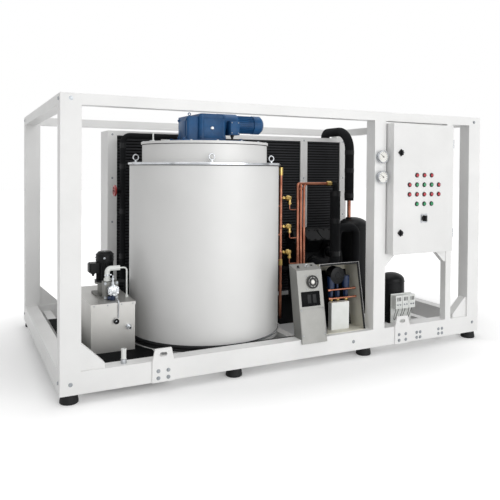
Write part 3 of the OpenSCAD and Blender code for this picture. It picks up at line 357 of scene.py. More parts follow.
@dataclass
class Studio:
    """The pale floor, the white surround, the soft lamps and the camera at the photograph's angle."""

    floor_m: float = 60.0
    floor_colour: str = "#f2f2f2"
    shade_half: Pair = (1.75, 1.2)
    shade_fade: Pair = (0.92, 1.7)
    camera_place: Point = (-2.003, -4.045, 1.253)
    yaw: float = 26.53
    pitch: float = 0.88
    roll: float = 0.38
    lens_mm: float = 42.5
    sensor_mm: float = 36.0
    sight_m: float = 200.0
    shift_y: float = -0.143
    ambient: float = 0.46
    lift_near: float = 0.14
    lift_far: float = 0.68
    lamps: tuple[tuple[str, Point, Point, Pair, float], ...] = (
        ("key", (1.0, -6.4, 1.9), (-0.3, 0.0, 0.8), (6.0, 4.6), 208.0),
        ("fill", (-5.4, -2.6, 3.0), (-0.6, 0.0, 0.8), (3.4, 3.4), 14.0),
        ("top", (0.2, 0.2, 6.0), (0.0, 0.0, 0.8), (4.5, 4.5), 80.0),
    )

    def floor(self) -> None:
        """Lays a plain floor that is white to the camera further out and keeps the object's shadow; near the
        object its glow is weaker, which paints a shade that fades outwards.
        """
        bpy.ops.mesh.primitive_plane_add(size=self.floor_m, location=(0, 0, 0))
        plane = bpy.context.object
        plane.name = "studio_floor"
        paint = bpy.data.materials.new("painted_floor_pale")
        paint.use_nodes = True
        tree = paint.node_tree
        tree.nodes.remove(tree.nodes["Principled BSDF"])
        place = add_node(tree, "TexCoord", {}).outputs["Object"]
        half_x, half_y = self.shade_half
        run = add_node(tree, "Mapping", {"Vector": place, "Scale": (1 / half_x, 1 / half_y, 0.0)})
        far = add_node(tree, "VectorMath", {0: run.outputs[0]}, operation="LENGTH")
        start, end = self.shade_fade
        # The glow rises from lift_near under the machine to lift_far further out: the darker patch around the
        # machine is painted shade.
        glow = add_node(tree, "MapRange", {"Value": far.outputs["Value"], "From Min": start, "From Max": end,
                                           "To Min": self.lift_near, "To Max": self.lift_far})
        matt = add_node(tree, "BsdfDiffuse", {"Color": linear(self.floor_colour)})
        lift = add_node(tree, "Emission", {"Color": linear("#ffffff"), "Strength": glow.outputs[0]})
        both = add_node(tree, "AddShader", {0: matt.outputs[0], 1: lift.outputs[0]})
        choice = add_node(tree, "MixShader", {0: self.seen(tree), 1: matt.outputs[0], 2: both.outputs[0]})
        tree.links.new(choice.outputs[0], tree.nodes["Material Output"].inputs["Surface"])
        plane.data.materials.append(paint)
        plane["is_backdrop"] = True

    def seen(self, tree: Tree) -> Socket:
        """Tells the rays that show a surface from those that carry its light.

        Args:
            tree: the node tree of the floor or the world.

        Returns:
            A socket that is 1 for what the camera sees, also by way of metal and glass.
        """
        rays = add_node(tree, "LightPath", {})
        bare = add_node(tree, "Math", {0: rays.outputs["Is Camera Ray"], 1: rays.outputs["Is Glossy Ray"]},
                        operation="MAXIMUM")
        return add_node(tree, "Math", {0: bare.outputs[0], 1: rays.outputs["Is Transmission Ray"]},
                        operation="MAXIMUM").outputs[0]

    def surround(self) -> None:
        """Makes a white world for the camera and reflections, and a softer one for the light it gives."""
        world = bpy.data.worlds.new("white_surround")
        bpy.context.scene.world = world
        world.use_nodes = True
        tree = world.node_tree
        soft = tree.nodes["Background"]
        soft.inputs["Color"].default_value = linear("#ffffff")
        soft.inputs["Strength"].default_value = self.ambient
        white = add_node(tree, "Background", {"Color": linear("#ffffff"), "Strength": 1.0})
        choice = add_node(tree, "MixShader", {0: self.seen(tree), 1: soft.outputs[0], 2: white.outputs[0]})
        tree.links.new(choice.outputs[0], tree.nodes["World Output"].inputs["Surface"])

    def light(self) -> None:
        """Hangs the soft lamps."""
        for name, place, aim, size, watts in self.lamps:
            lamp = bpy.data.lights.new(name, "AREA")
            lamp.shape = "RECTANGLE"
            lamp.size, lamp.size_y = size
            lamp.energy = watts
            holder = bpy.data.objects.new(name, lamp)
            holder.location = place
            holder.rotation_euler = (Vector(aim) - Vector(place)).to_track_quat("-Z", "Y").to_euler()
            bpy.context.scene.collection.objects.link(holder)

    def camera(self) -> None:
        """Sets the camera at the photograph's place and angle."""
        turn, tilt, lean = (math.radians(a) for a in (self.yaw, self.pitch, self.roll))
        ahead = Vector((math.sin(turn) * math.cos(tilt), math.cos(turn) * math.cos(tilt), -math.sin(tilt)))
        level = Vector((math.cos(turn), -math.sin(turn), 0.0))
        rise = level.cross(ahead)
        right = level * math.cos(lean) + rise * math.sin(lean)
        up = rise * math.cos(lean) - level * math.sin(lean)
        lens = bpy.data.cameras.new("photo_camera")
        lens.lens = self.lens_mm
        lens.sensor_width = self.sensor_mm
        lens.shift_y = self.shift_y
        lens.clip_end = self.sight_m
        holder = bpy.data.objects.new("photo_camera", lens)
        turned_to = Matrix((right, up, -ahead)).transposed().to_4x4()
        holder.matrix_world = Matrix.Translation(self.camera_place) @ turned_to
        bpy.context.scene.collection.objects.link(holder)
        bpy.context.scene.camera = holder

    def set_up(self) -> None:
        """Builds the whole studio."""
        self.floor()
        self.surround()
        self.light()
        self.camera()
        bpy.context.scene.view_settings.view_transform = "Standard"


class Slot(Enum):
    """The record's material slots; each new piece is handed one, which nothing reads."""

    WHITE_PAINT = "white_paint"
    BLACK_STEEL = "black_steel"
    RUBBER = "rubber"
    STAINLESS = "stainless"
    BLUE_PAINT = "blue_paint"
    BLACK_PAINT = "black_paint"
    BLACK_PLASTIC = "black_plastic"
    WHITE_PLASTIC = "white_plastic"
    COPPER = "copper"
    BRASS = "brass"
    FOAM = "foam"
    SWITCHGEAR = "switchgear"
    GAUGE_STEEL = "gauge_steel"
    LAMP_RED = "lamp_red"
    BUTTON_GREEN = "button_green"


FRAME_PLACE = Matrix.Translation(FRAME_CORNER)
FRONT: Point = (0, -1, 0)
BACK: Point = (0, 1, 0)
UP: Point = (0, 0, 1)
DOWN: Point = (0, 0, -1)
LEFT: Point = (-1, 0, 0)
RIGHT: Point = (1, 0, 0)
SIDES = (-1, 1)
SMOOTH_BELOW = math.radians(35)
WELD_MM = 0.02
SMALL_SCREW: Pair = (4.5, 3)
LARGE_BOLT: Pair = (8, 7)


def aimed(x: float, y: float, z: float, axis: Point, stand: Matrix = FRAME_PLACE) -> Matrix:
    """Stands a piece's own Z axis along a direction.

    Args:
        x: place across the stand's frame, mm.
        y: place back in it, mm.
        z: height in it, mm.
        axis: the direction, in the stand's frame.
        stand: the frame that the place is measured in.

    Returns:
        The matrix that puts the piece there.
    """
    turn = Vector(UP).rotation_difference(Vector(axis)).to_matrix().to_4x4()
    return stand @ Matrix.Translation(Vector((x, y, z)) * MM) @ turn


def shifted(x: float, y: float, z: float) -> Matrix:
    """Gives an upright stand at a place in mm off the frame's front left corner."""
    return Matrix.Translation(at(x, y, z))


def leaning(corner: Point, degrees: float) -> Matrix:
    """Gives a stand on a face that leans back: X across, Z up along the face, Y into the box."""
    return shifted(*corner) @ Matrix.Rotation(math.radians(-degrees), 4, "X")


def fanned(stand: Matrix, count: int) -> list[Matrix]:
    """Gives a stand turned about its own Z axis, at each of a number of even steps."""
    return [stand @ Matrix.Rotation(TURN * k / count, 4, "Z") for k in range(count)]


def circle(stand: Matrix, radius: float, count: int) -> list[Matrix]:
    """Gives places on a circle around a stand's Z axis, half a step off its X axis, all facing along Z."""
    angles = [TURN * (k + 0.5) / count for k in range(count)]
    return [stand @ Matrix.Translation(Vector((math.cos(a), math.sin(a), 0)) * radius * MM) for a in angles]


def pick(piece: Piece) -> None:
    """Selects one piece alone and makes it active.

    Args:
        piece: the piece.
    """
    bpy.ops.object.select_all(action="DESELECT")
    piece.select_set(True)
    bpy.context.view_layer.objects.active = piece


def put(piece: Piece, stand: Matrix = FRAME_PLACE) -> Piece:
    """Moves a piece to its place, puts that place into its mesh and smooths its round faces.

    Args:
        piece: the piece, measured in the stand's frame.
        stand: where that frame is.

    Returns:
        The same piece.
    """
    pick(piece)
    piece.matrix_world = stand @ piece.matrix_world
    bpy.ops.object.transform_apply(location=True, rotation=True, scale=True)
    bpy.ops.object.shade_smooth_by_angle(angle=SMOOTH_BELOW)
    return piece


def block(low: Point, high: Point, edge: float = 1.5) -> Piece:
    """Makes a block with eased edges.

    Args:
        low: its lowest corner, mm.
        high: its highest corner, mm.
        edge: how far the edges are eased, mm.

    Returns:
        The block, measured from its stand.
    """
    bpy.ops.object.select_all(action="DESELECT")
    bpy.ops.mesh.primitive_cube_add(size=1, location=(Vector(low) + Vector(high)) / 2 * MM)
    piece = bpy.context.object
    piece.scale = (Vector(high) - Vector(low)) * MM
    bpy.ops.object.transform_apply(location=True, rotation=True, scale=True)
    bpy.ops.object.mode_set(mode="EDIT")
    bpy.ops.mesh.select_all(action="SELECT")
    bpy.ops.mesh.bevel(offset=edge * MM, segments=2, affect="EDGES")
    bpy.ops.object.mode_set(mode="OBJECT")
    return piece


def blocks(corners: Sequence[tuple[Point, Point]], edge: float, stand: Matrix = FRAME_PLACE) -> Piece:
    """Makes a block at its place from each pair of corners and joins them all."""
    return joined([put(block(low, high, edge), stand) for low, high in corners])


def turned(profile: Sequence[Pair], steps: int = 28) -> Piece:
    """Turns a profile about the Z axis: a plane drawn to one point, led along the profile and spun.

    Args:
        profile: radius and height of each point, mm.
        steps: faces around the axis.

    Returns:
        The turned piece, standing on its own origin.
    """
    bpy.ops.object.select_all(action="DESELECT")
    bpy.ops.mesh.primitive_plane_add(size=MM)
    piece = bpy.context.object
    bpy.ops.object.mode_set(mode="EDIT")
    bpy.ops.mesh.merge(type="CENTER")
    bpy.ops.transform.translate(value=Vector((profile[0][0], 0, profile[0][1])) * MM)
    for (r_from, z_from), (r_to, z_to) in zip(profile, profile[1:]):
        bpy.ops.mesh.extrude_region_move(
            TRANSFORM_OT_translate={"value": Vector((r_to - r_from, 0, z_to - z_from)) * MM})
    bpy.ops.mesh.select_all(action="SELECT")
    bpy.ops.mesh.spin(steps=steps, angle=TURN, center=(0, 0, 0), axis=(0, 0, 1))
    bpy.ops.mesh.select_all(action="SELECT")
    bpy.ops.mesh.remove_doubles(threshold=WELD_MM * MM)
    bpy.ops.mesh.normals_make_consistent(inside=False)
    bpy.ops.object.mode_set(mode="OBJECT")
    return piece


def ring(inner: float, outer: float, height: float, steps: int = 32) -> Piece:
    """Turns a ring with eased outer edges, standing on its own origin."""
    ease = min(1, height / 4)
    return turned(((inner, 0), (outer - ease, 0), (outer, ease), (outer, height - ease),
                   (outer - ease, height), (inner, height), (inner, 0)), steps)


def bolt(radius: float, height: float) -> Piece:
    """Makes a hex head on its washer, standing on its own origin.

    Args:
        radius: out to the head's corners, mm.
        height: of the head, mm.

    Returns:
        The bolt.
    """
    chamfer = height - 0.14 * radius
    head = turned(((0, height), (0.8 * radius, height), (radius, chamfer), (radius, 0.2), (0, 0.2)), 6)
    washer = ring(0.5 * radius, 1.45 * radius, 0.22 * height, 20)
    return joined([head, washer])


def screw(radius: float, height: float) -> Piece:
    """Turns a domed screw head, standing on its own origin."""
    return turned(((0, height), (0.45 * radius, height), (0.85 * radius, 0.6 * height), (radius, 0),
                   (0, 0)), 14)


def tube(points: Sequence[Point], diameter: float) -> Piece:
    """Draws a rigid bent tube along a smooth line and makes it a mesh.

    Args:
        points: the points that lead the line, mm.
        diameter: of the tube, mm.

    Returns:
        The tube, measured from its stand.
    """
    bpy.ops.object.select_all(action="DESELECT")
    bpy.ops.curve.primitive_nurbs_path_add()
    piece = bpy.context.object
    line = piece.data
    line.splines.remove(line.splines[0])
    spline = line.splines.new("NURBS")
    spline.points.add(len(points) - 1)
    for spot, point in zip(spline.points, points):
        spot.co = (*(Vector(point) * MM), 1)
    spline.order_u = 3
    spline.use_endpoint_u = True
    spline.resolution_u = 5
    line.dimensions = "3D"
    line.bevel_depth = diameter / 2 * MM
    line.bevel_resolution = 3
    line.use_fill_caps = True
    pick(piece)
    bpy.ops.object.convert(target="MESH")
    return bpy.context.object


def joined(pieces: Sequence[Piece]) -> Piece:
    """Joins pieces to one object.

    Args:
        pieces: the pieces; they are used up.

    Returns:
        The one object.
    """
    pick(pieces[0])
    for piece in pieces[1:]:
        piece.select_set(True)
    if len(pieces) > 1:
        bpy.ops.object.join()
    return bpy.context.object


def copies(model: Piece, places: Sequence[Matrix]) -> Piece:
    """Copies a piece that was modelled once to each place, each with its own mesh, and joins the copies.

    Args:
        model: the piece, standing on its own origin; it is used up.
        places: where the copies go.

    Returns:
        All copies as one object.
    """
    made = []
    for stand in places:
        twin = model.copy()
        twin.data = model.data.copy()
        bpy.context.scene.collection.objects.link(twin)
        made.append(put(twin, stand))
    bpy.data.objects.remove(model)
    return joined(made)


def hand_over(piece: Piece, name: str, finish: Finish, slot: Slot, body: str = "frame",
              stands_for: Sequence[str] = ()) -> None:
    """Names a finished piece, dresses it, rides it on its body and reports it.

    Args:
        piece: the finished piece.
        name: its name.
        finish: its surface.
        slot: the record's material slot; not used.
        body: the body that it moves with.
        stands_for: the CAD nodes that it replaces.
    """
    piece.name = name
    piece.data.name = name
    piece.data.materials.clear()
    piece.data.materials.append(finish.material())
    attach(piece, body)
    if stands_for:
        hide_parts(*stands_for)
    LOG.info("%s on %s: %d faces", name, body, len(piece.data.polygons))


def spread(model: Piece, places: Sequence[Matrix], name: str, finish: Finish, slot: Slot,
           body: str = "frame", stands_for: Sequence[str] = ()) -> None:
    """Copies a piece to its places and hands the copies over as one."""
    hand_over(copies(model, places), name, finish, slot, body, stands_for)


@dataclass
class FrameHardware:
    """Hex bolts with washers on the posts, lugs and sills, and dark strips of painted shade under the top
    rails' edges.
    """

    head: Pair = (8, 5.5)
    depth: float = 1790
    length: float = 3030
    post_w: float = 112
    lug_t: float = 10
    lug_mid: Pair = (563, 2296)
    lug_pitch: Pair = (29.5, 20)
    lug_z: float = 44
    # Height and inset of the strips of painted shade under the rails.
    shade_band_z: Pair = (1541, 1548)
    shade_band_from_edge: Pair = (2, 9)
    post_spots: tuple[Pair, ...] = ((55, 1572), (55, 58), (2967, 1564), (2972, 72))
    sill_spots: tuple[Pair, ...] = ((2434, 22), (2466, 22), (2434, 58), (2466, 58), (2638, 26), (2672, 26),
                                    (2638, 59), (2672, 59), (1886, 60))
    end_spots: tuple[Pair, ...] = ((55, 1572), (1735, 1572), (55, 58), (1735, 58))

    def bolts(self) -> None:
        """Sets a bolt at every place on the front and the ends, and at the posts and lugs of the back."""
        lugs = [(x + i * self.lug_pitch[0], self.lug_z + k * self.lug_pitch[1]) for x in self.lug_mid
                for i in SIDES for k in SIDES]
        places = [aimed(x, 0, z, FRONT) for x, z in self.post_spots + self.sill_spots]
        places += [aimed(x, -self.lug_t, z, FRONT) for x, z in lugs]
        places += [aimed(x, self.depth, z, BACK) for x, z in self.post_spots]
        places += [aimed(0, y, z, LEFT) for y, z in self.end_spots]
        places += [aimed(self.length, y, z, RIGHT) for y, z in self.end_spots]
        places += [aimed(x, self.depth + self.lug_t, z, BACK) for x, z in lugs]
        spread(bolt(*self.head), places, "frame_bolts", ZINC_PLATED, Slot.GAUGE_STEEL)

    def shade_bands(self) -> None:
        """Lays a dark strip under the edge of each top rail, from post to post: painted shade for the shadow
        line there.
        """
        low, high = self.shade_band_z
        near, far = self.shade_band_from_edge
        start = self.post_w
        runs = [((start, y_low, low), (self.length - start, y_high, high))
                for y_low, y_high in ((near, far), (self.depth - far, self.depth - near))]
        runs += [((x_low, start, low), (x_high, self.depth - start, high))
                 for x_low, x_high in ((near, far), (self.length - far, self.length - near))]
        # These dark strips are painted shade: they draw the shadow line under each rail's edge.
        hand_over(blocks(runs, 1.2), "rail_edge_shade_bands", RUBBER_MOULDED, Slot.RUBBER)

    def build(self) -> None:
        """Builds the bolts and the strips of painted shade."""
        self.bolts()
        self.shade_bands()


@dataclass
class DrumHead:
    """Bolts of the drum's lid, the rolled edge of its top ring, dark rings of painted shade under the lid's
    rim and the top ring, and the lid's vent pipe.
    """

    axis: Pair = (1085, 670)
    lid_top: float = 1385
    bolt_circle: float = 428
    bolts: int = 16
    bolt: Pair = (7.5, 6)
    jacket_r: float = 520
    ring_r: float = 528
    ring_mid: float = 1238
    foot_z: float = 92
    gap: float = 0.2
    # Sizes of the thin dark rings of painted shade under the lid's rim and the top ring.
    shade_bands: tuple[Point, ...] = ((435.3, 439, 1364.8), (520.3, 525, 1225.8))
    shade_band_h: float = 4
    facets: int = 128
    vent: Pair = (690, 612)
    vent_h: float = 62

    def build(self) -> None:
        """Builds the bolts, the rims, the dark rings of painted shade and the vent."""
        x, y = self.axis
        places = circle(aimed(x, y, self.lid_top, UP), self.bolt_circle, self.bolts)
        spread(bolt(*self.bolt), places, "lid_bolts", ZINC_PLATED, Slot.STAINLESS)
        r, wall = self.ring_r, self.ring_r + self.gap
        edge = turned(((wall, -8), (r + 3, -6), (r + 4, 0), (r + 3, 6), (wall, 8), (wall, -8)), self.facets)
        r, wall = self.jacket_r, self.jacket_r + self.gap
        foot = turned(((wall, 0), (r + 3, 1), (r + 3, 15), (wall, 16), (wall, 0)), self.facets)
        rims = [put(rim, aimed(x, y, z, UP)) for rim, z in ((edge, self.ring_mid), (foot, self.foot_z))]
        hand_over(joined(rims), "drum_rims", STEEL_POLISHED, Slot.STAINLESS)
        # The thin dark rings are painted shade: they draw the shadow lines under the lid's rim and the top
        # ring.
        shade_bands = [put(ring(inner, outer, self.shade_band_h, self.facets), aimed(x, y, z, UP))
                 for inner, outer, z in self.shade_bands]
        hand_over(joined(shade_bands), "drum_shade_bands", RUBBER_MOULDED, Slot.RUBBER)
        h = self.vent_h
        pipe = turned(((0, 0), (11, 0), (11, 8), (5, 10), (5, h - 4), (4, h), (0, h)), 16)
        spread(pipe, [aimed(*self.vent, self.lid_top, UP)], "lid_vent", PVC_WHITE, Slot.WHITE_PLASTIC)


@dataclass
class GearDrive:
    """The gear motor's fasteners, plug, breather, terminal lid with gland, and the cowl's grille."""

    foot: Point = (1085, 670, 1385)
    side: float = 125
    top: float = 198
    left: float = -168
    face_x: Pair = (-74, 94)
    face_z: Pair = (36, 176)
    cover_y: Pair = (-76, 76)
    cover_z: Pair = (36, 156)
    crown_x: Pair = (-72, 92)
    crown_y: Pair = (-100, 100)
    crown_z: float = 190
    plug: Point = (0, -133, 99)
    breather: Pair = (40, 30)
    box: tuple[Point, Point] = ((136, -125, 58), (210, -25, 155))
    lid_t: float = 7
    screw_in: Pair = (12, 13)
    gland: Pair = (173, -80)
    inlet: Point = (438, 0, 140)
    grille_r: tuple[float, ...] = (12, 22, 32, 42)
    grille_bars: int = 8

    def stand(self) -> Matrix:
        """Gives the frame on the drum's axis at the lid's top."""
        return shifted(*self.foot)

    def fasteners(self) -> None:
        """Bolts the housing's faces, its top and its left cover, and fits the plug and the breather."""
        stand = self.stand()
        spots = [(x, y, z, axis) for y, axis in ((-self.side, FRONT), (self.side, BACK)) for x in self.face_x
                 for z in self.face_z]
        spots += [(self.left, y, z, LEFT) for y in self.cover_y for z in self.cover_z]
        spots += [(x, y, self.crown_z, UP) for x in self.crown_x for y in self.crown_y]
        places = [aimed(*spot, stand) for spot in spots]
        spread(bolt(*LARGE_BOLT), places, "gear_bolts", ENAMEL_BLUE, Slot.BLUE_PAINT)
        plug = turned(((0, 7), (7, 7), (9, 5), (9, 2), (12, 1), (12, 0), (0, 0)), 24)
        spread(plug, [aimed(*self.plug, FRONT, stand)], "oil_plug", STEEL_POLISHED, Slot.STAINLESS)
        vent = turned(((0, 15), (5, 15), (9, 11), (9, 5), (6, 4), (6, 0), (0, 0)), 20)
        top = aimed(*self.breather, self.top, UP, stand)
        spread(vent, [top], "gear_breather", BRASS_TURNED, Slot.BRASS)

    def covers(self) -> None:
        """Fits the terminal box's lid with its screws and gland, and raised panels on the housing."""
        stand = self.stand()
        low, high = self.box
        front = low[1] - self.lid_t
        plates = [((low[0] + 3, front, low[2] + 4), (high[0] - 3, low[1], high[2] - 4), 2.5),
                  ((-60, -self.side - 3, 30), (80, -self.side, 168), 2),
                  ((self.left - 4, -62, 30), (self.left, 62, 150), 2.5),
                  ((-58, -86, self.top - 1), (78, 86, self.top + 4), 2)]
        pads = [put(block(*plate), stand) for plate in plates]
        hand_over(joined(pads), "gear_covers", ENAMEL_BLUE, Slot.BLUE_PAINT)
        in_x, in_z = self.screw_in
        spots = [aimed(x, front, z, FRONT, stand) for x in (low[0] + in_x, high[0] - in_x)
                 for z in (low[2] + in_z, high[2] - in_z)]
        spread(screw(*SMALL_SCREW), spots, "terminal_screws", ZINC_PLATED, Slot.STAINLESS)
        gland = turned(((0, 26), (6, 26), (9, 22), (9, 12), (13, 11), (13, 1), (10, 0), (0, 0)), 18)
        below = aimed(*self.gland, low[2], DOWN, stand)
        spread(gland, [below], "terminal_gland", ABS_BLACK, Slot.BLACK_PLASTIC)

    def build(self) -> None:
        """Builds the fasteners, the covers and the rings and bars over the cowl's air inlet."""
        self.fasteners()
        self.covers()
        centre = aimed(*self.inlet, RIGHT, self.stand())
        rings = [put(ring(r - 1.6, r + 1.6, 3.2, 36), centre) for r in self.grille_r]
        bars = copies(block((8, -1.6, 0.4), (45, 1.6, 3), 0.5), fanned(centre, self.grille_bars))
        hand_over(joined([*rings, bars]), "cowl_grille", PAINT_BLACK, Slot.BLUE_PAINT)


@dataclass
class WaterSet:
    """Dress of the tank and pump: block bolts, flow meter, union, clip, plug ring, inlet and motor parts."""

    pump: Pair = (393.5, 710)
    pump_top: float = 657
    cowl_r: float = 57
    cowl_screw_z: float = 618
    cowl_first: float = -105
    cowl_ribs: Pair = (600, 636)
    box_lid: tuple[Point, Point] = ((287, 678, 526), (294, 742, 582))
    box_gland: Point = (318, 710, 521)
    pump_foot: tuple[Point, Point] = ((333, 672, 462), (454, 748, 470))
    block_front: float = 530
    block_x: Pair = (357, 430)
    block_z: Pair = (387, 477)
    meter: Point = (401.5, 496, 435)
    meter_lobes: int = 6
    lid_top: float = 377
    pipe: Pair = (375.5, 560)
    pipe_socket_z: float = 488
    pipe_clip_z: float = 520
    tube_gland: Pair = (501, 560)
    inlet: Point = (350, 45, 120)
    plug: Point = (395, 393, 266)
    nozzle: Point = (473, 365, 224)
    lid_front: float = 407
    lid_screw_x: tuple[float, ...] = (262, 345, 430, 500)
    lid_screw_z: float = 367

    def pump_parts(self) -> None:
        """Fits the cowl's screws and ribs, the terminal box's lid and gland, and the motor's foot."""
        x, y = self.pump
        cap = turned(((0, 4), (3, 4), (4, 3), (4, 2), (7, 1), (7, 0), (0, 0)), 16)
        spots = [aimed(x, y, self.pump_top, UP)]
        for turn in fanned(Matrix.Rotation(math.radians(self.cowl_first), 4, "Z"), 4):
            out = turn @ Vector(RIGHT)
            spots.append(aimed(*(Vector((x, y, self.cowl_screw_z)) + self.cowl_r * out), tuple(out)))
        spread(cap, spots, "pump_screws", ZINC_PLATED, Slot.STAINLESS)
        covers = [put(block(*self.box_lid, 2.5)), put(block(*self.pump_foot, 2))]
        gland = turned(((0, 22), (6, 22), (8, 18), (8, 10), (12, 9), (12, 0), (0, 0)), 16)
        covers.append(put(gland, aimed(*self.box_gland, DOWN)))
        covers += [put(ring(56.5, 59.5, 4, 48), aimed(x, y, z, UP)) for z in self.cowl_ribs]
        hand_over(joined(covers), "pump_covers", PAINT_BLACK, Slot.BLACK_PAINT)

    def meter_parts(self) -> None:
        """Builds the meter's lobed cap and stem, the block's bolts, the blue union and the drain tube."""
        x, y, z = self.meter
        face = aimed(x, y, z, FRONT)
        cap = turned(((0, 12), (6, 12), (8, 9), (16, 8), (18, 5), (27, 4), (29, 0), (0, 0)), 32)
        lobes = copies(block((-3.5, 17, 2), (3.5, 37, 9)), fanned(face, self.meter_lobes))
        stem = turned(((0, 40), (4, 40), (4, 26), (9, 25), (9, 12), (6, 11), (6, 0), (0, 0)), 18)
        meter = [put(cap, face), lobes, put(stem, aimed(x, y + 18, z + 54, UP))]
        hand_over(joined(meter), "flow_meter_cap", STEEL_POLISHED, Slot.STAINLESS)
        spots = [aimed(px, self.block_front, pz, FRONT) for px in self.block_x for pz in self.block_z]
        spread(bolt(6, 5), spots, "block_bolts", ZINC_PLATED, Slot.STAINLESS)
        union = turned(((0, 30), (8, 30), (12, 26), (17, 25), (17, 8), (14, 6), (14, 0), (0, 0)), 24)
        tee = turned(((0, 0), (11, 0), (11, 26), (8, 30), (0, 30)), 20)
        blue = [put(union, aimed(x - 6, y, self.lid_top, UP)),
                put(tee, aimed(x - 8, y, self.lid_top + 15, LEFT))]
        hand_over(joined(blue), "meter_union", LACQUER_NAVY, Slot.BLUE_PAINT)
        route = ((6, 484, 395), (7, 440, 394), (8, 402, 392), (8, 396, 380), (8, 404, 330), (8, 405, 300),
                 (8, 405, 284))
        drain = put(tube([(x + off, py, pz) for off, py, pz in route], 7))
        hand_over(drain, "drain_tube", STEEL_POLISHED, Slot.STAINLESS)

    def pipe_parts(self) -> None:
        """Fits the pipe's socket and clip, the thin tube's gland, the inlet's sleeve, plug and screws."""
        socket = turned(((17, 0), (21, 1), (21, 18), (17, 20), (17, 0)), 28)
        gland = turned(((5.2, 0), (11, 0), (11, 10), (8, 13), (5.2, 14), (5.2, 0)), 20)
        sleeve = turned(((12.2, 24), (14, 25), (14, 72), (15.5, 73), (15.5, 80), (12.2, 80), (12.2, 24)), 24)
        spots = ((*self.pipe, self.pipe_socket_z), (*self.tube_gland, self.lid_top), self.inlet)
        white = [put(part, aimed(*spot, UP)) for part, spot in zip((socket, gland, sleeve), spots)]
        hand_over(joined(white), "pipe_sockets", PVC_WHITE, Slot.WHITE_PLASTIC)
        band = joined([ring(16.3, 17.6, 11, 32), block((16, -5, 1), (27, 5, 10))])
        spread(band, [aimed(*self.pipe, self.pipe_clip_z, UP)], "hose_clip", STEEL_POLISHED, Slot.STAINLESS)
        plug = turned(((6, 5), (8, 7), (15, 7), (17, 4), (17, 0), (13.3, 0), (13.3, 4), (6, 5)), 28)
        spread(plug, [aimed(*self.plug, FRONT)], "plug_ring", RUBBER_MOULDED, Slot.RUBBER)
        # A flat black disc on the nozzle's face is painted shade: it stands for the dark inside of the bore.
        shade_disc = turned(((0, 1.2), (5, 1.2), (6, 0.2), (0, 0.2)), 20)
        spread(shade_disc, [aimed(*self.nozzle, FRONT)], "nozzle_shade_disc", ABS_BLACK, Slot.BLACK_PLASTIC)
        screws = [aimed(x, self.lid_front, self.lid_screw_z, FRONT) for x in self.lid_screw_x]
        spread(screw(*SMALL_SCREW), screws, "lid_screws", ZINC_PLATED, Slot.STAINLESS)

    def build(self) -> None:
        """Builds all pieces of the water set."""
        self.pump_parts()
        self.meter_parts()
        self.pipe_parts()


@dataclass
class CondenserDress:
    """Screws on the casing's strips and, at the back, the guards' wires, motor caps and plate screws."""

    strip_mid: tuple[float, ...] = (611, 1044, 2366, 2799)
    strip_z: tuple[float, ...] = (100, 440, 785, 1130, 1470)
    front: float = 1420
    back: float = 1660
    fans: tuple[float, ...] = (952, 1705, 2458)
    fan_z: float = 785
    screw_circle: float = 362
    screws: int = 8
    wire_from: float = 132
    wire_to: float = 326
    wire_pitch: float = 14
    wire_r: float = 1.6

    def build(self) -> None:
        """Builds the screws, the wires and the caps."""
        spots = [aimed(x, self.front, z, FRONT) for x in self.strip_mid for z in self.strip_z]
        fans = [aimed(x, self.back, self.fan_z, BACK) for x in self.fans]
        for fan in fans:
            spots += circle(fan, self.screw_circle, self.screws)
        spread(screw(8, 4), spots, "casing_screws", ZINC_PLATED, Slot.WHITE_PAINT)
        wires = []
        for k in range(int((self.wire_to - self.wire_from) / self.wire_pitch) + 1):
            r = self.wire_from + k * self.wire_pitch
            low, high = r - self.wire_r, r + self.wire_r
            wires.append(copies(turned(((low, 7), (r, 8.6), (high, 7), (r, 5.6), (low, 7)), 60), fans))
        hand_over(joined(wires), "guard_wires", PAINT_BLACK, Slot.BLACK_PAINT)
        cap = turned(((0, 26), (30, 26), (44, 24), (50, 20), (50, 18.2), (0, 18.2)), 40)
        spread(cap, fans, "motor_caps", PAINT_BLACK, Slot.BLACK_PAINT)


@dataclass(frozen=True)
class Upright:
    """A round upright form: its axis, its radius and the heights that something is set at."""

    x: float
    y: float
    r: float
    heights: tuple[float, ...]

    def places(self, rise: float = 0) -> list[Matrix]:
        """Gives the places on the axis at the heights, all of them raised by the same amount."""
        return [aimed(self.x, self.y, z + rise, UP) for z in self.heights]


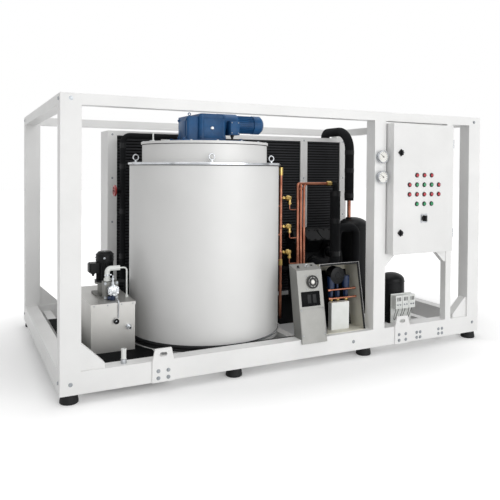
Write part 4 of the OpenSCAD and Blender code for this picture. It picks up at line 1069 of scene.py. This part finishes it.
@dataclass
class PipeDress:
    """Tape around the foam, sleeves and the top elbow on the copper, and nuts at the brass valves."""

    foam: tuple[Upright, ...] = (Upright(2215, 700, 40, (240, 520, 780, 996)),
                                 Upright(2640, 1100, 40, (958, 1180, 1340)),
                                 Upright(650, 1250, 21, (520, 860, 1200, 1360)))
    header: Upright = Upright(1718, 700, 11, (987, 770, 575))
    low_sleeve: float = 300
    base_z: float = 478
    risers: Pair = (1868, 1924)
    riser_top: float = 1095
    nut_out: float = 8
    collar_out: float = 66.3
    collar_drop: float = 46

    def build(self) -> None:
        """Builds the tape bands, the copper pieces and the brass nuts."""
        bands = [copies(ring(line.r + 0.2, line.r + 1.8, 38, 40), line.places()) for line in self.foam]
        hand_over(joined(bands), "foam_bands", TAPE_PVC, Slot.FOAM)
        x, y, r = self.header.x, self.header.y, self.header.r
        sleeve = turned(((r + 0.2, 0), (r + 1.2, 1), (r + 1.8, 3), (r + 1.8, 27), (r + 1.2, 29),
                         (r + 0.2, 30), (r + 0.2, 0)), 28)
        places = self.header.places(-15) + [aimed(x, y, self.low_sleeve, UP)]
        spread(sleeve, places, "copper_sleeves", COPPER_DRAWN, Slot.COPPER)
        left, right = self.risers
        top = self.riser_top
        route = [(left, y, z) for z in (top - 120, top - 40, top)]
        route += [(end, y, top) for end in (left + 40, right + 60)]
        elbow = put(tube(route, 2 * r + 1))
        hand_over(elbow, "riser_elbow", COPPER_DRAWN, Slot.COPPER)
        nut = turned(((7.4, 0), (12, 0), (13, 2), (13, 11), (12, 13), (7.4, 13), (7.4, 0)), 6)
        nuts = copies(nut, [aimed(x + r + self.nut_out, y, z, RIGHT) for z in self.header.heights])
        collar = turned(((11.6, 0), (15, 0), (16, 2), (16, 8), (15, 10), (11.6, 10), (11.6, 0)), 20)
        caps = copies(collar, [aimed(x + r + self.collar_out, y, z - self.collar_drop, UP)
                               for z in self.header.heights])
        base = put(ring(r + 0.4, r + 4, 46, 28), aimed(x, y, self.base_z, UP))
        hand_over(joined([nuts, caps, base]), "brass_nuts", BRASS_TURNED, Slot.BRASS)


@dataclass
class Gauges:
    """The two pressure gauges' bezels, dial cards, marks and needles."""

    x: float = 2097
    front: float = -30
    heights: Pair = (1294, 1157)
    radius: float = 42
    marks: int = 11
    sweep: float = 270
    reading: float = 52

    def build(self) -> None:
        """Builds one gauge's parts and copies them to both places."""
        places = [aimed(self.x, self.front, z, FRONT) for z in self.heights]
        r = self.radius
        bezel = turned(((r - 6, 0.2), (r - 6, 4), (r - 4, 7), (r - 1, 7), (r + 1, 4), (r + 1, -10),
                        (r + 0.2, -10), (r + 0.2, 0.2), (r - 6, 0.2)), 48)
        spread(bezel, places, "gauge_bezels", STEEL_POLISHED, Slot.GAUGE_STEEL)
        card = turned(((0, 1.6), (r - 7, 1.6), (r - 6.2, 0.4), (0, 0.4)), 40)
        spread(card, places, "gauge_cards", DIAL_WHITE, Slot.GAUGE_STEEL)
        turns = [self.sweep / 2 - i * self.sweep / (self.marks - 1) for i in range(self.marks)]
        marks = copies(block((-0.9, r - 16, 1.5), (0.9, r - 9, 2.4), 0.2),
                       [Matrix.Rotation(math.radians(turn), 4, "Z") for turn in turns])
        needle = put(block((-1.1, -8, 2.6), (1.1, r - 14, 3.6), 0.3),
                     Matrix.Rotation(math.radians(self.reading), 4, "Z"))
        hub = turned(((0, 5), (3, 5), (4.5, 4), (4.5, 1.4), (0, 1.4)), 16)
        spread(joined([marks, needle, hub]), places, "gauge_marks", ABS_BLACK, Slot.GAUGE_STEEL)


@dataclass
class PanelDoor:
    """The cabinet door's lamps with their bezels, the switch's plate and the sleeves of the hinges."""

    middle: float = 2423
    face: float = -70
    pitch: float = 66
    rows: tuple[float, ...] = (973, 1039, 1105, 1171)
    switch_z: float = 872
    hinge: Pair = (2701, -57.5)
    hinge_z: Pair = (730, 1363)
    knuckles: tuple[tuple[str, str, float], ...] = (("frame", "hinge_sleeves_fixed", 1),
                                                    ("door", "hinge_sleeves_door", 32))

    def row(self, level: int, columns: Sequence[int]) -> list[Matrix]:
        """Gives the places on the door's face in one row, at columns counted from the middle."""
        return [aimed(self.middle + k * self.pitch, self.face, self.rows[level], FRONT) for k in columns]

    @staticmethod
    def lens() -> Piece:
        """Turns one domed lens."""
        return turned(((0, 13), (4, 12.7), (8, 11.6), (10.6, 9.4), (11.5, 7), (11.5, 0.2), (0, 0.2)), 24)

    def build(self) -> None:
        """Builds the lenses, the bezels, the hinges' sleeves and the switch's plate."""
        red = self.row(1, range(-2, 3)) + self.row(2, (-2, 2)) + self.row(3, (-1, 0, 1))
        green = self.row(2, (-1, 0, 1))
        spread(self.lens(), red, "lamps_red", LENS_RED, Slot.LAMP_RED, "door", ("pilot_lamps",))
        spread(self.lens(), green, "lamps_green", LENS_GREEN, Slot.BUTTON_GREEN, "door")
        bezel = turned(((12, 0.2), (12, 6), (13, 7), (14.5, 6.6), (16, 4), (16.5, 0.2), (12, 0.2)), 28)
        spots = red + green + self.row(0, (-1, 0, 1))
        spread(bezel, spots, "lamp_bezels", ABS_BLACK, Slot.BLACK_PLASTIC, "door")
        for body, name, rise in self.knuckles:
            places = [aimed(*self.hinge, z + rise, UP) for z in self.hinge_z]
            spread(ring(7.2, 8.2, 28, 24), places, name, ZINC_PLATED, Slot.GAUGE_STEEL, body)
        plate = turned(((30, 0.2), (43, 0.2), (43, 2.4), (41, 3.4), (30, 3.4), (30, 0.2)), 4)
        stand = aimed(self.middle, self.face, self.switch_z, FRONT) @ Matrix.Rotation(TURN / 8, 4, "Z")
        spread(plate, [stand], "switch_plate", STEEL_POLISHED, Slot.GAUGE_STEEL, "door")


@dataclass
class Controller:
    """The leaning controller's speaker dial, window, screws, folded edges and the fittings on its top."""

    corner: Point = (1479, -10, 120)
    lean: float = 10
    width: float = 188
    top: float = 436.6
    dial: Point = (111, -9, 358.6)
    dial_rings: tuple[Pair, ...] = ((33, 43), (17, 27))
    dial_spokes: int = 8
    dial_screw: float = 42
    window: tuple[float, float, float, float] = (18.8, 205, 160.7, 300)
    window_gap: float = 0.6
    band_x: Pair = (64.8, 104.8)
    band_w: float = 26
    edge_screw: float = 14
    edge_screw_z: Pair = (24, 184)
    seam_z: float = 190
    glands: tuple[Pair, ...] = ((40, 44), (150, 60))
    eye: Pair = (104, 40)

    def stand(self) -> Matrix:
        """Gives the frame on the leaning face."""
        return leaning(self.corner, self.lean)

    def dial_parts(self) -> None:
        """Builds the speaker dial's rings and spokes, and its pale centre."""
        spot = aimed(*self.dial, FRONT, self.stand())
        dark = [put(ring(inner, outer, 3.5, 40), spot) for inner, outer in self.dial_rings]
        dark.append(copies(block((26.5, -2, 0.2), (33.5, 2, 3), 0.4), fanned(spot, self.dial_spokes)))
        hand_over(joined(dark), "dial_rings", ABS_BLACK, Slot.BLACK_PLASTIC)
        pale = turned(((0, 5), (8, 4.6), (12, 3), (13, 0.2), (0, 0.2)), 28)
        spread(pale, [spot], "dial_centre", DIAL_WHITE, Slot.WHITE_PLASTIC)

    def face_parts(self) -> None:
        """Builds the window with its bands, the screws and the folded edges."""
        stand = self.stand()
        x_low, z_low, x_high, z_high = self.window
        gap = self.window_gap
        pane = block((x_low + gap, -2.5, z_low + gap), (x_high - gap, 3.9, z_high - gap), 5)
        hand_over(put(pane, stand), "window_pane", ACRYLIC_BLACK, Slot.BLACK_PLASTIC)
        bands = [((x, -3.4, z_low + 20), (x + self.band_w, -2.3, z_high - 20)) for x in self.band_x]
        hand_over(blocks(bands, 0.5, stand), "window_bands", TAPE_PVC, Slot.BLACK_PLASTIC)
        x, _, z = self.dial
        spots = [(x + i * self.dial_screw, z + k * self.dial_screw) for i in SIDES for k in SIDES]
        edges = (self.edge_screw, self.width - self.edge_screw)
        spots += [(px, pz) for px in edges for pz in self.edge_screw_z]
        places = [aimed(px, 0, pz, FRONT, stand) for px, pz in spots]
        spread(screw(*SMALL_SCREW), places, "controller_screws", ZINC_PLATED, Slot.STAINLESS)
        folds = [((4, -1.4, self.seam_z), (self.width - 4, 0, self.seam_z + 4))]
        folds += [((px, -1.4, 4), (px + 3, 0, self.seam_z)) for px in (4, self.width - 7)]
        hand_over(blocks(folds, 0.5, stand), "controller_seams", SHADED_DULL_STAINLESS, Slot.STAINLESS)

    def top_parts(self) -> None:
        """Builds the cable glands and the lifting ring."""
        stand = self.stand() @ Matrix.Translation(Vector((0, 0, self.top)) * MM)
        gland = turned(((0, 24), (5, 24), (8, 20), (8, 10), (12, 9), (12, -9), (0, -9)), 18)
        places = [aimed(*spot, 10, UP, stand) for spot in self.glands]
        spread(gland, places, "controller_glands", ABS_BLACK, Slot.BLACK_PLASTIC)
        loop = turned(((8, 0), (11, -3), (14, 0), (11, 3), (8, 0)), 28)
        foot = turned(((0, 6), (7, 6), (9, 3), (9, -10), (0, -10)), 18)
        lifting = [put(loop, aimed(*self.eye, 25, FRONT, stand)), put(foot, aimed(*self.eye, 8, UP, stand))]
        hand_over(joined(lifting), "controller_ring", STEEL_POLISHED, Slot.STAINLESS)

    def build(self) -> None:
        """Builds the dial, the face and the fittings on the top."""
        self.dial_parts()
        self.face_parts()
        self.top_parts()


@dataclass
class ValveBoxDress:
    """The valve box's gasket and rim, dark panels of painted shade inside it, the copper rails, the drive's
    cap and the valves' nuts.
    """

    corner: Point = (1691, 40, 120)
    lean: float = 11
    width: float = 322
    height: float = 450
    rail_z: Pair = (390, 334)
    rail_x: Pair = (1758, 1985)
    rail_y: Pair = (122.64, 112)
    drive: Point = (1841, 129.8, 485)
    stem_x: tuple[float, ...] = (1801, 1855, 1923)
    stem_y: float = 150
    nut_z: Pair = (150, 310)

    def sheets(self) -> None:
        """Builds the gasket and the rim around the opening, and dark panels inside that are painted shade."""
        stand = leaning(self.corner, self.lean)
        tall = self.height / math.cos(math.radians(self.lean))
        w = self.width
        seal = [((2, -8, tall - 15), (w - 2, -0.2, tall - 2)), ((w - 15, -8, 4), (w - 2, -0.2, tall - 2)),
                ((2, -8, 4), (9, -0.2, tall - 2))]
        hand_over(blocks(seal, 1.8, stand), "box_gasket", RUBBER_MOULDED, Slot.RUBBER)
        rim = [((0.2, -8, tall - 1.8), (w, -0.2, tall)), ((w - 1.8, -8, 4), (w, -0.2, tall)),
               ((0, -8, 4), (1.8, -0.2, tall))]
        hand_over(blocks(rim, 0.6, stand), "box_rim", STAINLESS_BRUSHED, Slot.STAINLESS)
        # Black panels on the back wall, the left wall and under the top inside the box: painted shade for its
        # dark inside.
        shade_panels = [((10, 146, 8), (w - 10, 150, tall - 44)), ((5, 6, 8), (8, 146, tall - 44)),
                  ((8, 10, tall - 12), (w - 10, 120, tall - 9))]
        hand_over(blocks(shade_panels, 0.8, stand), "box_shade_panels", PAINT_BLACK_PLATE, Slot.BLACK_STEEL)

    def fittings(self) -> None:
        """Builds the copper rails, the cap of the round drive and the nuts on the valves' stems."""
        start, end = self.rail_x
        run = end - start
        bar = turned(((0, 0), (9, 0), (9, 20), (6, 22), (6, run - 22), (9, run - 20), (9, run), (0, run)), 20)
        rails = [aimed(start, y, z, RIGHT) for y, z in zip(self.rail_y, self.rail_z)]
        spread(bar, rails, "box_copper_rails", COPPER_DRAWN, Slot.COPPER)
        cap = turned(((0, 14), (20, 14), (24, 11), (40, 11), (46, 8), (57, 7), (58, 0), (58, -58),
                      (56.4, -58), (56.4, -0.2), (0, -0.2)), 48)
        spread(cap, [aimed(*self.drive, FRONT)], "drive_cap", PAINT_BLACK, Slot.BLACK_PAINT)
        nut = turned(((9.4, 0), (16, 0), (17, 2), (17, 16), (16, 18), (9.4, 18), (9.4, 0)), 6)
        places = [aimed(x, self.stem_y, z, UP) for x in self.stem_x for z in self.nut_z]
        spread(nut, places, "valve_nuts", BRASS_TURNED, Slot.BRASS)

    def build(self) -> None:
        """Builds all pieces of the valve box."""
        self.sheets()
        self.fittings()


@dataclass
class CabinetDress:
    """What the open door shows: faces of the contactors and slotted ducts; and the switches by the sill."""

    corner: Point = (2153, 0, 630)
    block: Point = (80, 68, 150)
    block_pitch: Pair = (100, 220)
    rows: int = 3
    columns: int = 4
    duct_z: tuple[float, ...] = (92, 292, 512, 700)
    teeth: int = 16
    tooth_pitch: float = 26
    pressure: Point = (2391, 172, 188)
    pressure_pitch: float = 62
    pressures: int = 3

    def contactors(self) -> None:
        """Gives each block of the switchgear a stepped face with terminal screws."""
        x0, _, z0 = self.corner
        x1, front, z1 = self.block
        across, rise = self.block_pitch
        places = [shifted(x0 + x1 + k * across, front, z0 + z1 + row * rise) for row in range(self.rows)
                  for k in range(self.columns)]
        face = block((6, -12, 24), (74, -0.2, 86), 2.5)
        nose = block((18, -20, 38), (62, -11.8, 72), 2)
        spread(joined([face, nose]), places, "contactor_faces", ABS_BLACK, Slot.SWITCHGEAR)
        spots = [aimed(x, 0, z, FRONT, place) for place in places for x in (16, 40, 64) for z in (12, 98)]
        spread(screw(6, 3.5), spots, "terminal_heads", ZINC_PLATED, Slot.SWITCHGEAR)

    def ducts(self) -> None:
        """Lays slotted wire ducts between the rows."""
        x0, y0, z0 = self.corner
        trunk = block((62, 100, 0), (478, 137.5, 34))
        tooth = block((70, 97, 5), (82, 100.4, 29), 0.8)
        trunks = copies(trunk, [shifted(x0, y0, z0 + z) for z in self.duct_z])
        teeth = copies(tooth, [shifted(x0 + k * self.tooth_pitch, y0, z0 + z) for z in self.duct_z
                               for k in range(self.teeth)])
        hand_over(joined([trunks, teeth]), "wire_ducts", POLYAMIDE_GREY, Slot.SWITCHGEAR)

    def pressure_faces(self) -> None:
        """Dresses the three pressure switches with dark slots, two set screws and a capillary line each."""
        x0, y0, z0 = self.pressure
        places = [shifted(x0 + i * self.pressure_pitch, y0, z0) for i in range(self.pressures)]
        slots = [block((x, -2.5, 56), (x + 5, -0.2, 84), 0.8) for x in (14, 27, 40)]
        spread(joined(slots), places, "switch_slots", ACRYLIC_BLACK, Slot.BLACK_PLASTIC)
        knob = turned(((0, 7), (4, 7), (5, 5), (5, 1), (6, 0), (0, 0)), 16)
        spots = [aimed(x, 0, 30, FRONT, place) for place in places for x in (18, 40)]
        spread(knob, spots, "switch_screws", ZINC_PLATED, Slot.STAINLESS)
        line = tube(((16, 20, 1), (15, 18, -20), (10, 30, -50), (16, 44, -84), (30, 45, -92), (36, 42, -70),
                     (38, 28, -34), (40, 20, -14), (40, 20, 1)), 4)
        spread(line, places, "capillary_lines", ABS_BLACK, Slot.BLACK_PLASTIC)

    def build(self) -> None:
        """Builds all pieces of the cabinet."""
        self.contactors()
        self.ducts()
        self.pressure_faces()


@dataclass
class Machinery:
    """Bolts on the compressor's heads, its sight glasses, and the vessels' weld beads."""

    compressor: Point = (2110, 1180, 420)
    head_x: Pair = (40, 190)
    head_top: float = 276
    head_bolt_x: tuple[float, ...] = (8, 65, 122)
    head_bolt_y: float = 62
    tilt: float = 32
    flange_r: float = 128
    flange_bolts: int = 10
    sights: tuple[Point, ...] = ((60, -158, -20), (330, -158, -20))
    vessels: tuple[Upright, ...] = (Upright(2690, 1100, 135, (170, 690)), Upright(2482, 330, 94, (135, 365)))

    def build(self) -> None:
        """Builds the bolts, the glasses and the beads."""
        base = shifted(*self.compressor)
        spots = []
        for side in SIDES:
            tilted = base @ Matrix.Rotation(math.radians(side * self.tilt), 4, "X")
            spots += [aimed(x0 + x, k * self.head_bolt_y, self.head_top, UP, tilted) for x0 in self.head_x
                      for x in self.head_bolt_x for k in SIDES]
        spots += circle(aimed(0, 0, 0, LEFT, base), self.flange_r, self.flange_bolts)
        spread(bolt(*LARGE_BOLT), spots, "compressor_bolts", PAINT_BLACK, Slot.BLACK_STEEL)
        sights = [aimed(*spot, FRONT, base) for spot in self.sights]
        rim = turned(((15, 0), (24, 0), (26, 3), (26, 9), (23, 12), (15, 12), (15, 0)), 28)
        spread(rim, sights, "sight_rims", BRASS_TURNED, Slot.BRASS)
        glass = turned(((0, 9), (10, 8.4), (14.8, 6), (14.8, 0.2), (0, 0.2)), 24)
        spread(glass, sights, "sight_glasses", ACRYLIC_BLACK, Slot.BLACK_PLASTIC)
        beads = []
        for vessel in self.vessels:
            r, low, high = vessel.r, vessel.r - 1, vessel.r + 1.6
            bead = turned(((low, -5), (high, -3), (r + 2.4, 0), (high, 3), (low, 5), (low, -5)), 64)
            beads.append(copies(bead, vessel.places()))
        hand_over(joined(beads), "vessel_beads", PAINT_BLACK, Slot.BLACK_STEEL)


def write_size() -> None:
    """Gathers the CAD model's box and the dressed model's box into a table, which is not kept."""
    ({name: [list(map(float, corner)) for corner in box]
               for name, box in (("cad", CAD_BOX), ("visual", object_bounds()))})


def main() -> None:
    """Builds the studio and dresses the machine, piece by piece."""
    logging.basicConfig(level=logging.INFO, format="%(message)s")
    Studio().set_up()
    dress_nodes()
    for part in (FrameHardware, DrumHead, GearDrive, WaterSet, CondenserDress, PipeDress, Gauges, PanelDoor,
                 Controller, ValveBoxDress, CabinetDress, Machinery):
        part().build()
    write_size()


if __name__ == "__main__":
    main()
